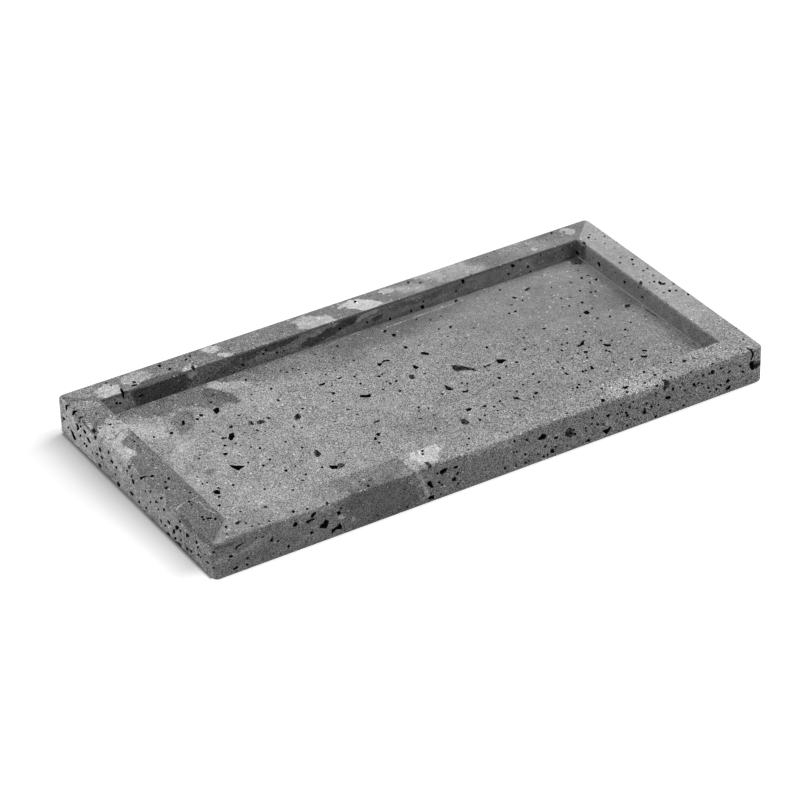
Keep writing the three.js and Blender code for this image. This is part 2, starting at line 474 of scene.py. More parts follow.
# Pits that show in the photograph, black ones and then grey ones, by the pixels round each brink
PITS: dict[tuple[Lining, Face], tuple[Brink, ...]] = {
    (Lining.CRUST, Face.FLOOR): (
        (213, 410, 216.5, 408, 219, 408, 219.2, 411.5, 216.5, 413.8, 214.5, 412),
        (182, 421, 184, 420.5, 185, 424, 181.3, 426, 182.5, 423.5),
        (199.2, 414.5, 203, 414.3, 203, 415.8, 199.5, 415.8),
        (195.8, 418.8, 198.8, 418.2, 198.5, 420, 196.3, 420),
        (209, 402, 212, 401, 212, 402.3, 210.5, 403),
        (169.5, 433.2, 171, 432, 173, 432.2, 172.8, 434, 170.5, 434),
        (229.5, 434, 233.5, 433, 234.5, 436.5, 232, 439.8, 230, 440, 228.5, 438.5),
        (223, 453.3, 228, 453, 227, 454.5, 225.5, 455, 224, 454.6),
        (229, 464.7, 235.5, 466, 245, 466, 241, 468.3, 239, 470, 237, 469.8, 232.5, 467.5),
        (259, 447.2, 261, 447.2, 261, 449.2, 259, 449.2),
        (329, 465, 331, 465.8, 338, 465.6, 337.5, 468.5, 331.5, 468.8),
        (319, 384.7, 323, 383.5, 325, 382.5, 324.8, 384, 322.5, 385, 319.5, 385.6),
        (337, 378, 339.5, 377.8, 341.8, 376.6, 341.5, 378, 339.5, 379),
        (330.5, 392.3, 335, 392.5, 334.8, 393.8, 332.5, 394),
        (360, 395.2, 367, 395.1, 370, 394, 371, 395.5, 369.8, 397, 360.3, 397),
        (377, 363.5, 382, 363.4, 381.5, 364.8, 380, 366, 378, 365),
        (381.5, 362.4, 384, 360.4, 390, 360, 389.5, 361, 385, 361.2, 382.5, 362.9),
        (413, 365.3, 414.8, 365.3, 419, 367.5, 416, 369, 413.5, 367.5),
        (376, 434, 377.5, 433.2, 379.6, 433.2, 380, 435.2, 378, 436),
        (374, 437.8, 376, 437, 377, 439, 376, 440, 374.2, 439.6),
        (299.5, 446.8, 304.3, 447.3, 302.5, 448.6),
        (453.5, 369, 458, 368.6, 463.5, 369, 461, 370.2, 459, 371.2, 456, 371.1),
        (495, 360, 504, 359.4, 507, 360, 504, 361.4, 502, 363, 498.5, 363, 497.5, 361.4),
        (421, 352.3, 424, 352.2, 429, 353.4, 428.5, 354.8, 421.2, 354),
        (404, 346.2, 406, 346.3, 408, 347.9, 406, 348.5, 404.3, 347.8),
        (462, 391, 465, 391, 469, 390.2, 467.5, 392, 463, 392.3),
        (466, 409.7, 468.5, 408.4, 472, 408, 471, 409.6, 468.3, 411, 467, 410.8),
        (482.8, 406.4, 484.5, 405.3, 487, 405.1, 486, 406.6, 483.5, 407.1),
        (513, 396.3, 514.5, 397.6, 518, 397.4, 521, 400, 517, 399, 514, 399),
        (497, 377.2, 500.8, 377.2, 500.5, 379, 498.5, 378.6),
        (213, 492, 215, 490.4, 217.5, 490, 220, 491.5, 219.8, 493.8, 216.5, 494),
        (583.5, 312.3, 586, 310.6, 587.5, 311, 590, 313, 588, 314, 585.5, 313.9),
        (577, 346, 580, 344.8, 582.5, 341, 585, 340, 583.2, 342.7, 584.5, 343.8, 578, 346.9),
        (602.8, 344, 605, 344.2, 610.8, 344.7, 610.5, 346, 607, 346.2, 604.5, 345.4),
        (560, 349.7, 561.5, 349.2, 564, 351, 562.3, 351.4),
        (583, 351.3, 588, 351.1, 587, 352.5, 585, 353.1),
        (590.5, 366.3, 591.5, 365.9, 594, 368.2, 593, 369.2, 591, 369),
        (561, 366.8, 562.5, 367, 564.2, 368.5, 563, 369.4),
        (564.3, 373, 566, 372.4, 569, 374.7, 567, 375.1),
        (534, 393.3, 535.5, 392.1, 538, 392, 537.5, 394, 534.5, 394.1),
        (575.8, 387.3, 577.2, 386.2, 578.8, 387.3, 577.5, 388.6),
        (640.3, 355.4, 643, 356, 648, 355.8, 646.5, 357.2, 642, 357.2),
        (642, 350, 647, 350.1, 647, 351.1, 642.3, 351),
        (383.3, 331.4, 384.5, 330.2, 386.5, 330.2, 385.8, 331.9, 384, 332),
        (391.5, 335, 392.5, 334, 395.5, 334, 396, 335.2, 394, 336.5),
        (449.3, 326.8, 450.5, 325.9, 452, 326.2, 451.3, 327.4, 450, 328.4),
        (454.5, 301.5, 455.5, 300, 458, 300, 456.5, 301.2, 455, 302),
        (505, 366.8, 506.3, 365.4, 507.6, 366.3, 506, 367.2),
    ),
    (Lining.CRUST, Face.RIM): (
        (236.5, 513, 238, 512, 240, 512, 239.5, 513.6, 237.5, 514),
        (291.8, 511.4, 293, 510.2, 294.8, 511, 294.4, 512.6, 292.8, 513),
        (325.5, 502.6, 327, 502, 328.4, 503, 326.8, 504.1),
        (341.5, 500.5, 343.2, 499.2, 343.6, 501.1),
        (601, 400, 601.9, 399.1, 604.3, 399.1, 605.1, 400.3, 603.5, 401.9, 602, 401.9),
        (682, 360.3, 687, 360.2, 685.5, 361.6, 683.5, 362.3),
        (622, 388, 626.5, 386, 629, 386.1, 627.3, 387.9, 625, 388.8),
        (565.3, 413.4, 566.5, 412.7, 568.1, 412.8, 567.4, 414),
        (600, 388.2, 602.5, 388.2, 603, 389.7, 601.5, 389.3),
        (150, 476.2, 152, 475, 154.1, 475.2, 153, 476.9, 150.5, 477.1),
        (167, 477.5, 169, 477.1, 170, 479.2, 168.8, 480),
        (163.2, 481.4, 165.5, 481.2, 167, 482.6, 165.3, 483.1),
        (164.6, 488.2, 166, 486.8, 168.1, 487, 167.3, 488.6, 165.5, 489.3),
        (200.4, 516.5, 203.6, 516.2, 203, 517.8, 201.2, 517.9),
        (202, 519.3, 204, 518.8, 205.1, 519.5, 203.6, 520.4),
        (214.3, 518, 216.6, 518.2, 216.2, 520, 214.6, 519.8),
        (120, 388.5, 121, 388.2, 123, 391, 124.6, 393.6, 123.6, 395, 121.5, 392.5),
        (158, 365, 160, 364.7, 161.4, 366, 160.5, 367.1, 158.5, 366.7),
        (168, 369.6, 169, 368, 171, 368.1, 170.8, 369.9),
        (185, 359.4, 186.5, 358.5, 187.1, 359.8, 185.3, 360.3),
        (630.7, 259.5, 632, 258.7, 633.6, 259.5, 632.4, 260.5),
        (653, 281.3, 654.3, 280.7, 655.4, 281.6, 654, 282.4),
        (658, 282, 659.6, 281.2, 662, 283.4, 666, 283.1, 664.5, 284.5, 660, 284.3),
        (668, 290.3, 669.6, 289.7, 671.1, 290.5, 670.2, 291.9, 668.7, 291.4),
        (587, 237.3, 588.6, 236.9, 590.1, 237.5, 588.8, 238.5),
    ),
    (Lining.CRUST, Face.FRONT): (
        (325.5, 519.5, 328, 520.5, 328.5, 523, 326.5, 528, 319.5, 528, 320.5, 525.3, 323.5, 523.3),
        (332, 530, 338, 526, 339.5, 523.3, 342, 526, 341.5, 529, 337, 529, 334, 531, 332, 534.5),
        (337, 512.5, 339, 511, 340.7, 512, 340, 514, 338, 515),
        (316.2, 511.6, 315.2, 514, 312.3, 518, 310.8, 517.6, 311.5, 515, 313.5, 512.8),
        (315.5, 518, 314, 519.5, 310.5, 521, 308, 523.3, 306.2, 523, 306.5, 521.3, 311, 519.4),
        (294, 523.5, 296, 521.8, 297.8, 524, 296.5, 525.8, 294, 526.8, 293, 526),
        (310, 533, 311.5, 531.4, 313.1, 531.5, 312.8, 533, 311, 534.4),
        (271, 539.5, 272.6, 537.1, 273, 538.6, 272.2, 541, 270.8, 542.1, 270.1, 540.8),
        (277, 541, 278.6, 539.6, 279.1, 541, 277.8, 542.1),
        (287, 547, 288.3, 545.1, 290, 545.2, 289.5, 546.9, 288.3, 548.1),
        (211, 569, 213, 568.2, 216, 568.4, 215.5, 570, 213.5, 571.1, 211.4, 570.6),
        (213, 553.2, 214.5, 551.9, 215.6, 553, 214.5, 554.3),
        (229, 556, 231, 555.1, 233.1, 556, 232.5, 557.1, 229.2, 557.6),
        (238.5, 566, 238, 567.6, 233, 570.3, 233, 569, 236, 567),
        (448, 467.7, 447, 469.6, 444.5, 472.6, 441.5, 474.1, 440, 473.5, 440.2, 471.4, 442.5, 469.4),
        (453.3, 468.8, 454.5, 466.7, 458, 465.4, 457.5, 467.5, 455, 468.4),
        (456.2, 474.8, 457, 472.7, 458.6, 471.7, 459.1, 472.6, 457, 475.2),
        (452, 480.9, 452.2, 479, 455.5, 476.9, 456.1, 478.5, 455.8, 480.9),
        (457, 484.9, 457.8, 482.9, 459.1, 481.9, 458.8, 483.9, 457.8, 485.2),
        (429, 481.4, 430.8, 480.9, 432.5, 485.4, 433.9, 487, 432, 488.1, 427.7, 485, 428, 483),
        (428.2, 499, 428.8, 497, 434, 494.9, 434.3, 498.6, 431, 499.1),
        (440, 485.7, 442, 483.9, 443.4, 484, 442.5, 485.6),
        (504, 468, 505, 466.9, 506.1, 467.3, 506, 469.1, 504.5, 469.4),
        (542, 434.2, 545.5, 434.2, 546.3, 436, 545.5, 438.1, 539.5, 440.1, 538, 439.5, 541, 435.5),
        (573, 434.3, 574, 432.9, 576.1, 433, 576, 434.6, 573.5, 435.1),
        (554, 438, 556, 436.4, 557.9, 436.5, 557.5, 438.1, 555.5, 439),
        (543.8, 447.2, 545, 445.7, 547, 445.1, 545, 448),
        (550.2, 452.4, 550.8, 450.4, 552, 448.9, 553.6, 449.5, 554.4, 451.5, 553.5, 452.9),
        (585.3, 441.6, 588.2, 438.7, 590.1, 440, 589.8, 441.6),
        (603, 431.8, 603.8, 430, 608, 428.9, 610, 426.4, 610.9, 427, 608.5, 431.6, 606.5, 433.9),
        (606, 416.5, 607, 414.9, 609.9, 414.1, 609.6, 415.9, 608, 417.2),
        (591, 417.1, 594, 417.1, 593, 418.6, 592.2, 419.1),
        (590, 424.7, 591.5, 423.2, 592.9, 423, 592.5, 424.4),
        (626.2, 416.4, 626.5, 414.6, 628, 414.1, 629.1, 415, 626.8, 417.1),
        (642.3, 412.6, 644, 410.8, 644, 408.4, 644.9, 407.4, 645.9, 413.5, 644.3, 414),
        (671.5, 390.8, 672, 389, 673.2, 387.1, 674.1, 387.5, 673.8, 389.6),
        (665.3, 397.8, 666.3, 396.4, 670.9, 396.1, 670.2, 398.1, 668.5, 399.2, 666, 399),
        (692, 385, 693.5, 383.2, 695.1, 383.7, 695.9, 386.9, 693.8, 386.2),
        (697, 384.4, 698, 382.7, 700, 381.9, 699, 383.7),
        (726, 382.7, 726.5, 380.8, 728, 378.9, 730, 380, 727.2, 383.2),
        (725.3, 389.9, 730, 384.9, 730.6, 386.6, 729, 388.8, 727, 390),
        (715.3, 388.3, 717.9, 387.9, 717, 390, 716.3, 390.8),
        (710.8, 372.6, 712, 370.2, 713.9, 369.9, 714.1, 373.6, 712, 374),
        (727, 373.8, 729, 371.4, 730.9, 369.9, 731.1, 371, 728.8, 373.2),
        (654.3, 417.9, 654.8, 416, 657.1, 414.9, 656.8, 416.4, 655.5, 418),
        (749.2, 364, 750.5, 362, 753, 361, 755, 363, 754.6, 367, 753.5, 369.8, 751, 369.5),
        (749.4, 348.3, 751, 348, 753.8, 353.5, 751.3, 360, 750.6, 360, 752.2, 355.5, 751.8, 352.5),
    ),
    (Lining.CRUST, Face.LEFT): (
        (65.6, 405, 66.9, 405.2, 67.1, 409, 66.4, 411.2, 65.7, 408),
        (72.2, 410.8, 73.6, 411.9, 74.4, 413.5, 73.5, 415.2, 71.8, 414.9, 72.9, 413.4),
        (62.8, 417, 64.1, 417.3, 65.2, 419.7, 64.1, 420),
        (75.8, 422.9, 77.2, 423.9, 79.2, 428.4, 78, 430.2, 76.8, 429.9, 77.4, 428),
        (70.8, 429.8, 72.1, 430.6, 76.2, 439.5, 74.6, 440.2, 72.4, 435),
        (83, 428.9, 84.6, 430.1, 86.3, 432.5, 85.8, 434.2, 84.6, 433.1),
        (86.8, 436.8, 88, 437.5, 90.7, 443.3, 89.4, 442.7, 88.1, 440.5),
        (85.7, 444.8, 87.1, 445, 87.2, 447.2, 86.2, 447.2),
        (98.8, 446.8, 100.1, 447.7, 101.2, 450.5, 100.9, 452.3, 99.8, 451.6),
        (107.8, 450.4, 109.1, 450.9, 109.4, 453.6, 108.2, 454),
        (96, 453, 97.6, 453.3, 98.2, 455, 97.2, 455.3),
        (115.3, 466, 116.8, 466.8, 117, 469, 115.8, 468.4),
        (116.9, 481.8, 118.6, 482.4, 120.4, 485.5, 119.6, 486.8, 117.9, 485),
        (131.9, 479, 133.3, 479.8, 134.2, 483, 133.5, 484.5, 132.6, 482.6),
        (130, 490.8, 131.6, 491.8, 133.7, 494.6, 133.2, 495.8, 131.4, 494.1),
        (140, 476.8, 142.2, 477.1, 142, 479.1, 140.7, 480.2),
        (163, 508.3, 164.6, 508.5, 165, 511.1, 163.9, 511.3),
        (160, 519.2, 161.1, 519.6, 162, 521.8, 161.3, 522.7),
        (167, 520.1, 168.8, 520.7, 170.5, 523.8, 169.8, 525, 168.5, 522.8),
        (175.3, 525.9, 177.3, 525.6, 179, 527.8, 177.8, 529.7, 176, 529.2),
        (179.1, 529.1, 180.9, 530.3, 181.2, 532.2, 180, 532),
        (173, 529.2, 174.6, 529.8, 175, 532, 174, 534.2, 172.9, 533.2),
        (167, 532, 168.6, 532.8, 170.2, 536, 170.2, 538, 168.6, 537),
        (186, 533.1, 188.1, 534.3, 189.3, 536, 188.2, 537, 186.5, 537.2),
        (195.7, 540.1, 197.1, 541.4, 197.5, 544.1, 196.1, 543.7),
        (177.9, 541.3, 179.6, 543.4, 181.2, 546, 180.5, 547.2, 179.1, 545.4),
        (186, 546.8, 187.6, 548.4, 188.2, 550.7, 186.8, 550),
        (190, 548.8, 191.6, 550.9, 192.5, 553.2, 191, 552.3),
        (206.7, 560.8, 208.1, 561.9, 209.2, 564.2, 206.7, 562.5),
    ),
    (Lining.CRUST, Face.INNER_BACK): (
        (139, 396.6, 140.5, 395, 144, 394.1, 143, 395.6, 139.6, 397.2),
        (119, 402.8, 120.5, 402.3, 121.3, 403.3, 120.3, 404.2, 119.1, 403.9),
        (240.5, 364.4, 244, 364.3, 245.6, 365.3, 242, 366.2),
        (262, 354, 263, 352.9, 264.4, 353.8, 263.5, 355.1),
        (276, 352.8, 277, 351.5, 278.3, 352, 277.5, 353.6),
        (338.9, 328.5, 340, 327.7, 341.3, 328.6, 340.5, 330.2, 339.2, 330),
        (366, 322, 367.5, 321.3, 368.4, 322.3, 367, 323.2),
        (388.9, 318.4, 390, 317.4, 391.1, 318.6, 390.6, 320.2, 389.2, 320),
        (410, 310.6, 411.3, 309.7, 412.3, 311, 411, 312.2),
        (420.8, 307.6, 421.2, 305.4, 423.6, 305.4, 424.2, 307.6, 422.5, 309),
        (461.1, 279.9, 464.1, 279.5, 464.4, 281.5, 463.5, 283.8, 462.2, 283.1),
        (510.4, 264.6, 514, 264.4, 514.7, 266, 512.5, 267.7),
        (527, 268, 527.2, 266.1, 529.4, 265.7, 529, 267.4),
        (507.7, 274.6, 508.1, 272.9, 509.4, 273.1, 509, 275.2),
        (575.7, 250.4, 577, 251.3, 579.2, 254.1, 577, 254.5),
    ),
    (Lining.CRUST, Face.INNER_RIGHT): (
        (597.6, 261.6, 599, 262.4, 600.5, 265, 599.5, 266.8, 598.2, 264.5),
        (623.8, 280.9, 625.3, 280.9, 625.6, 283.1, 624.2, 283.5),
        (641.3, 296.2, 642.9, 296.4, 643.5, 298.4, 642.1, 298),
    ),
    (Lining.SPAR, Face.FLOOR): (
        (229, 427, 231.5, 425, 233, 426.8, 232, 428.2, 229.2, 428.2),
        (221, 437.7, 222.5, 437.1, 224, 437.9, 227, 437, 226.8, 438.2, 221.8, 439),
        (248, 422, 251.3, 421, 254, 424.6, 251, 424.9),
        (256.5, 421.8, 259.5, 420.3, 265, 420.7, 264.5, 422.3, 260.5, 424, 257.5, 423.6),
        (265.2, 417.5, 268, 417.2, 271, 418.3, 270, 419.1),
        (294.3, 416.5, 297, 414, 300, 414.3, 301, 417.5, 297, 420.5, 295.2, 419.5),
        (314.2, 452, 316, 449.4, 318, 451, 321, 453.5, 319, 456.6, 316.2, 457),
        (337.8, 464.2, 341, 463.3, 345, 464.2, 343, 466.8, 339, 468.8),
        (409, 376, 410.3, 374.8, 414, 375.1, 414.8, 378, 413.5, 379.1, 410.5, 379),
        (377, 441.7, 380.8, 441.9, 380.8, 443, 378.5, 443.3),
        (450.6, 365.6, 461, 365.7, 466, 367.2, 474, 368.8, 478, 370.5, 466, 369.4, 457, 371, 454, 369.3),
        (444.2, 385.4, 446.5, 385.5, 449, 387.2, 453.2, 388.6, 452.6, 390, 448, 390, 446, 388.6),
        (460, 419, 465, 419.1, 469, 422.4, 468.3, 424.2, 464.5, 424.6, 462, 423.5),
        (216, 488, 218.5, 486.9, 221, 489.2, 220.3, 489.7, 218.3, 488.3),
        (524.6, 290, 527, 288.5, 530, 287.4, 529.6, 289, 527.3, 290.4, 525, 290.8),
        (512, 297, 515, 297.1, 517, 297.8, 515.3, 298.6, 513, 298.3),
        (624.6, 305.2, 630, 304.3, 629.5, 306.4, 627.3, 308, 625.3, 307.7),
        (483, 365.6, 487, 366, 486, 367.3, 484, 367.1),
        (485.8, 365.8, 488, 364.8, 491, 364.2, 490, 365.3, 487.4, 366.2),
        (373, 422.4, 376, 421.2, 379.8, 419.9, 379.5, 420.9, 375, 422.8),
        (569, 282, 571, 281.9, 572.6, 283, 570.5, 283.1),
        (236.5, 415, 238.5, 414.7, 241, 415.4, 239.5, 416.1),
        (346, 409.2, 348, 408.8, 350.5, 409.4, 348.5, 410.1),
    ),
    (Lining.SPAR, Face.RIM): (
        (235, 523, 239.5, 520.7, 241, 521.5, 238, 524.4, 235.4, 524.4),
        (263, 507.5, 265, 505.9, 268, 507, 265.3, 508.3),
        (424, 462, 428.5, 461.9, 432, 466.5, 431.3, 469.6, 428.5, 466.5),
        (124, 391.2, 128, 391.4, 126.5, 393.4, 124.6, 393),
        (191, 366.6, 193, 365.4, 194.9, 368, 194.4, 370.6, 192.2, 369.4),
        (132, 381.4, 135, 381.2, 136.2, 383.1, 133.5, 383),
        (131, 385.6, 134, 384.4, 138, 384, 136, 385.6, 132.5, 386.4),
        (582, 242.6, 583.6, 241.4, 585.4, 242.6, 585.5, 245.1, 583.6, 244.7),
        (584.3, 245.6, 586, 245.3, 587.1, 247, 585.8, 248.4),
        (639.2, 282.6, 640.6, 280.9, 642.1, 282.1, 641.8, 284.6, 640.2, 285.1),
    ),
    (Lining.SPAR, Face.FRONT): (
        (246.5, 541.5, 239, 546, 235, 550.3, 235, 548.7, 238.5, 544.8),
        (568.5, 428.3, 571, 428, 573, 430, 573, 432.5, 570.5, 437.8, 565.5, 435.5, 565.3, 433),
        (754, 361.3, 762, 361.5, 760.5, 366, 755, 368.6, 754.5, 365),
        (628.2, 407.5, 629.3, 405.4, 630.6, 405, 630.8, 407.6, 629.5, 409),
        (663.3, 379.8, 667.5, 379.8, 669.7, 383.5, 667.8, 386.5, 664.3, 390, 663.3, 389.5, 664.6, 384),
    ),
    (Lining.SPAR, Face.LEFT): (
        (92.3, 427.5, 93.5, 429, 94.8, 434, 93.2, 434.5, 91.5, 432.5, 91, 430.5),
        (94.8, 434.5, 96.5, 436.5, 96.2, 438.5, 95, 440, 94.2, 438),
        (128, 465.3, 129.2, 464.8, 130.2, 468, 129.5, 469.3, 128.4, 467.5),
    ),
}
# Then the small ones, by the pixel in the middle of each: black, grey, or no more than a dent
DOTS: dict[tuple[Lining, Face], tuple[Pixel, ...]] = {
    (Lining.CRUST, Face.FLOOR): (
        (213, 395), (251, 447), (225, 445.5), (257.3, 430.1), (263.5, 465.4), (270, 459.5),
        (251.2, 394.5), (271, 388.5), (278.5, 400.3), (333, 401.4), (295.3, 466), (322, 467.4),
        (286, 470.6), (306, 474.4), (294, 426.5), (302, 427.5), (332, 385.4), (354.5, 376.5),
        (379, 376.5), (382, 374.5), (360.5, 383.6), (396.3, 381), (386.5, 381.4), (390.3, 383.5),
        (400, 391), (354, 360.5), (302.5, 408.4), (462, 383), (467.3, 383.5), (485, 415.5), (480, 419.6),
        (500, 401.2), (494, 406.5), (516.8, 391.4), (533.6, 397), (533, 374), (516.6, 362), (487, 347.4),
        (525, 349.5), (523, 384.5), (418.5, 407.3), (419, 411.1), (428.6, 408.3), (435.5, 428.5),
        (219, 496.7), (219.4, 505.5), (202.5, 483.6), (207, 482.5), (522.5, 300.4), (509.1, 313.5),
        (515.4, 311.5), (580, 290.8), (596, 279.6), (582.2, 302.6), (569.3, 306), (580.2, 316),
        (609.9, 316.5), (567, 329.4), (585.8, 331.7), (601, 340.4), (567.2, 343.1), (589, 347.2),
        (578, 353.4), (606, 350.5), (609.5, 351.5), (587.3, 357.6), (558, 362), (614, 362.2),
        (631.5, 359.1), (583, 371.5), (586, 370.5), (539, 382), (579, 384.5), (590, 381.5), (438.9, 329),
        (306, 373.6), (245.7, 379.6), (335.5, 370.1), (285.5, 441.8), (233, 485), (265, 489), (154, 437),
        (619, 369.4),
    ),
    (Lining.CRUST, Face.RIM): (
        (422.5, 451), (469, 438.5), (467, 444.4), (467, 457.5), (627, 392), (189, 501.6), (190.1, 492.7),
        (208, 518.4), (210.5, 518.6), (138, 437.5), (134.5, 441.4), (110.3, 424.3), (226, 527),
        (246, 523), (252, 526), (269, 521), (277, 524), (307, 509), (368, 486), (227, 534), (236, 539),
        (409, 445), (411, 449), (507, 432.4), (645, 383), (655, 375), (671, 377), (673, 356.8),
        (644, 372), (106, 382.8), (355, 301.8),
    ),
    (Lining.CRUST, Face.FRONT): (
        (263, 537.3), (247.5, 558), (247, 564.5), (437.5, 473.5), (439.5, 482.4), (514, 452.5),
        (517, 452), (525.3, 454.5), (516, 466), (525.5, 462.7), (526.8, 440), (514.5, 441), (556, 447),
        (547.7, 454.8), (543.8, 456.5), (574, 429.5), (586, 431), (586, 428), (598, 424.3), (626.3, 413),
        (617.5, 414), (622, 412.3), (634.5, 419.3), (627, 425.5), (633, 402), (624, 403), (621, 405.2),
        (656, 393), (655.8, 396), (702, 383.7), (718, 385), (720.7, 385), (708.5, 387.7), (710, 391.7),
        (680.5, 387.5), (709.5, 374), (721.3, 368.3), (740, 366), (743, 372), (658.5, 404.8),
        (651.5, 406.5), (660.5, 409), (670, 410.8), (683.7, 405.4), (407, 507), (341, 508), (529, 461),
    ),
    (Lining.CRUST, Face.LEFT): (
        (80.5, 435.8), (79.5, 418), (68.5, 427.5), (111.5, 461), (112.5, 462.5), (99.5, 464.7),
        (100.5, 466.5), (145.3, 491.3), (161, 498.5), (139.3, 502), (155.8, 501.8), (146.3, 508),
        (165.3, 525.8), (180, 521.5), (175.2, 538.2), (198, 547), (176.3, 542.5),
    ),
    (Lining.CRUST, Face.INNER_BACK): (
        (116.5, 403.2), (284, 350.5), (266, 350.3), (423.5, 301.5),
    ),
    (Lining.SPAR, Face.FLOOR): (
        (235.5, 443.5), (213, 431.3), (265.4, 431.4), (248.4, 462.5), (199, 458.5), (344, 452.5),
        (335, 421.5), (493.5, 385.4), (591, 292.3), (595.7, 291.6), (561, 298.5), (592, 308.5),
        (625, 329.5), (628, 330.6), (631, 322.5), (612, 340.5), (562, 344.3), (572, 358.4), (573, 388.5),
        (416.3, 319.6), (576, 263.5), (580, 263.6), (581.7, 278), (281, 371.2), (292.5, 368.5),
        (333.7, 358.4), (337.5, 346), (293, 490), (523.5, 338), (518.7, 329.5), (607, 371.5),
    ),
    (Lining.SPAR, Face.RIM): (
        (422.5, 454), (468.5, 449.5), (191.5, 504.5), (137.5, 445.5), (259, 524), (264, 529),
        (408, 282.4), (420.3, 282.6), (494, 250.8), (551.6, 233.3), (643.5, 270.5), (676, 290.5),
        (688.2, 294.5), (736.5, 327.8), (96.2, 413.6), (213.2, 344.9),
    ),
    (Lining.SPAR, Face.FRONT): (
        (603.5, 424.3), (682.5, 383.5), (646.5, 403.5), (229, 560),
    ),
    (Lining.SPAR, Face.LEFT): (
        (84.5, 443.5), (80.5, 426.5), (92.5, 452.5), (101.5, 456.5), (102.5, 458), (127, 471),
        (115.5, 474.5), (131.5, 476.5), (150.5, 491.5), (150.5, 502), (157.7, 502.7), (158.5, 509.4),
        (181, 540), (198.5, 555), (200.5, 557), (205, 554.5),
    ),
    (Lining.SPAR, Face.INNER_BACK): (
        (456, 291.2), (520, 260),
    ),
    (Lining.STONE, Face.FLOOR): (
        (430.3, 320), (474, 328), (590, 282.6), (551.3, 287.4), (500, 289.7), (597.5, 318.5),
        (548, 349.3),
    ),
    (Lining.STONE, Face.RIM): (
        (190, 356.3), (563.8, 232.3), (589.7, 234.6), (604.5, 236.4), (620.5, 257.5), (619.8, 262.7),
        (633, 264.3), (647.3, 268.5), (653.3, 275.6), (649.7, 282.6), (663.5, 292.5), (673.5, 284),
    ),
    (Lining.STONE, Face.FRONT): (
        (690, 396), (637, 408), (617, 421),
    ),
    (Lining.STONE, Face.LEFT): (
        (62.5, 412.7), (66.5, 416.5), (79.5, 421.7), (120.5, 463.3),
    ),
}

# Pits of which the photograph shows no more than how many there are, and those it does not show
SCATTERS: tuple[Scatter, ...] = (
    Scatter(Face.FLOOR, (-132, 132), (-57, 57), 150, (0.6, 1.2), 11, 2.0),
    Scatter(Face.FLOOR, (20, 130), (-56, 50), 50, (0.7, 1.4), 12, 2.2),
    Scatter(Face.RIM, (-146, 146), (-72, -60), 50, (0.5, 1.1), 13),
    Scatter(Face.RIM, (60, 146), (-72, -60), 34, (0.6, 1.4), 14),
    Scatter(Face.RIM, (-146, 146), (60, 72), 30, (0.5, 1.0), 15),
    Scatter(Face.RIM, (135, 147), (-58, 58), 22, (0.5, 1.1), 16),
    Scatter(Face.RIM, (-147, -135), (-58, 58), 24, (0.5, 1.1), 17),
    Scatter(Face.FRONT, (-145, 145), (-8.5, 8.5), 60, (0.5, 1.1), 18),
    Scatter(Face.FRONT, (30, 145), (-8.5, 8.5), 60, (0.6, 1.3), 19),
    Scatter(Face.LEFT, (-70, 70), (-8.5, 8.5), 44, (0.5, 1.0), 20, 2.6),
    Scatter(Face.BACK, (-145, 145), (-8.5, 8.5), 170, (0.6, 3.6), 21, 1.9),
    Scatter(Face.RIGHT, (-70, 70), (-8.5, 8.5), 90, (0.6, 3.2), 22, 1.9),
    Scatter(Face.INNER_BACK, (-132, 132), (0.0, 9.0), 16, (0.5, 1.0), 23),
    Scatter(Face.INNER_RIGHT, (-57, 57), (0.0, 9.0), 20, (0.5, 1.1), 24),
    Scatter(Face.INNER_FRONT, (-132, 132), (0.0, 9.0), 50, (0.6, 1.8), 25),
    Scatter(Face.INNER_LEFT, (-57, 57), (0.0, 9.0), 24, (0.6, 1.6), 26),
    Scatter(Face.SLAB_UNDERSIDE, (-130, 130), (-56, 56), 190, (0.7, 4.4), 27, 2.2),
    Scatter(Face.RAIL_UNDERSIDE, (-146, 146), (-72, -60), 60, (0.6, 2.6), 28),
    Scatter(Face.RAIL_UNDERSIDE, (-146, 146), (60, 72), 60, (0.6, 2.6), 29),
    Scatter(Face.RAIL_UNDERSIDE, (135, 147), (-58, 58), 26, (0.6, 2.4), 30),
    Scatter(Face.RAIL_UNDERSIDE, (-147, -135), (-58, 58), 26, (0.6, 2.4), 31),
    edge_chips(Face.FRONT_TOP_EDGE, (-144, 144), 70, (0.5, 1.3), 32),
    Scatter(Face.FRONT_TOP_EDGE, (60, 144), (-0.6, 0.6), 30, (0.7, 1.6), 33, 2.0, 0.5, 40),
    edge_chips(Face.LEFT_TOP_EDGE, (-70, 70), 30, (0.5, 1.2), 34),
    edge_chips(Face.BACK_TOP_EDGE, (-144, 144), 50, (0.5, 1.3), 35),
    edge_chips(Face.RIGHT_TOP_EDGE, (-70, 70), 26, (0.5, 1.3), 36),
    Scatter(Face.FRONT_LOW_EDGE, (-144, 144), (-0.5, 0.5), 36, (0.6, 1.6), 37, 2.2, 0.5, 30),
    Scatter(Face.LEFT_LOW_EDGE, (-70, 70), (-0.5, 0.5), 18, (0.6, 1.4), 38, 2.2, 0.5, 30),
)


# Modelling steps that several pieces share

def deselect_all() -> None:
    """Clears the selection, which the frame's import leaves full."""
    bpy.ops.object.select_all(action="DESELECT")


def make_active(piece: Piece) -> None:
    """Selects one object alone and makes it the active one."""
    deselect_all()
    piece.select_set(True)
    bpy.context.view_layer.objects.active = piece


@contextmanager
def edit_mode(piece: Piece) -> Iterator[None]:
    """Holds a piece in edit mode for the steps inside.

    Args:
        piece: the piece, which is then selected alone.
    """
    make_active(piece)
    bpy.ops.object.mode_set(mode="EDIT")
    try:
        yield
    finally:
        bpy.ops.object.mode_set(mode="OBJECT")


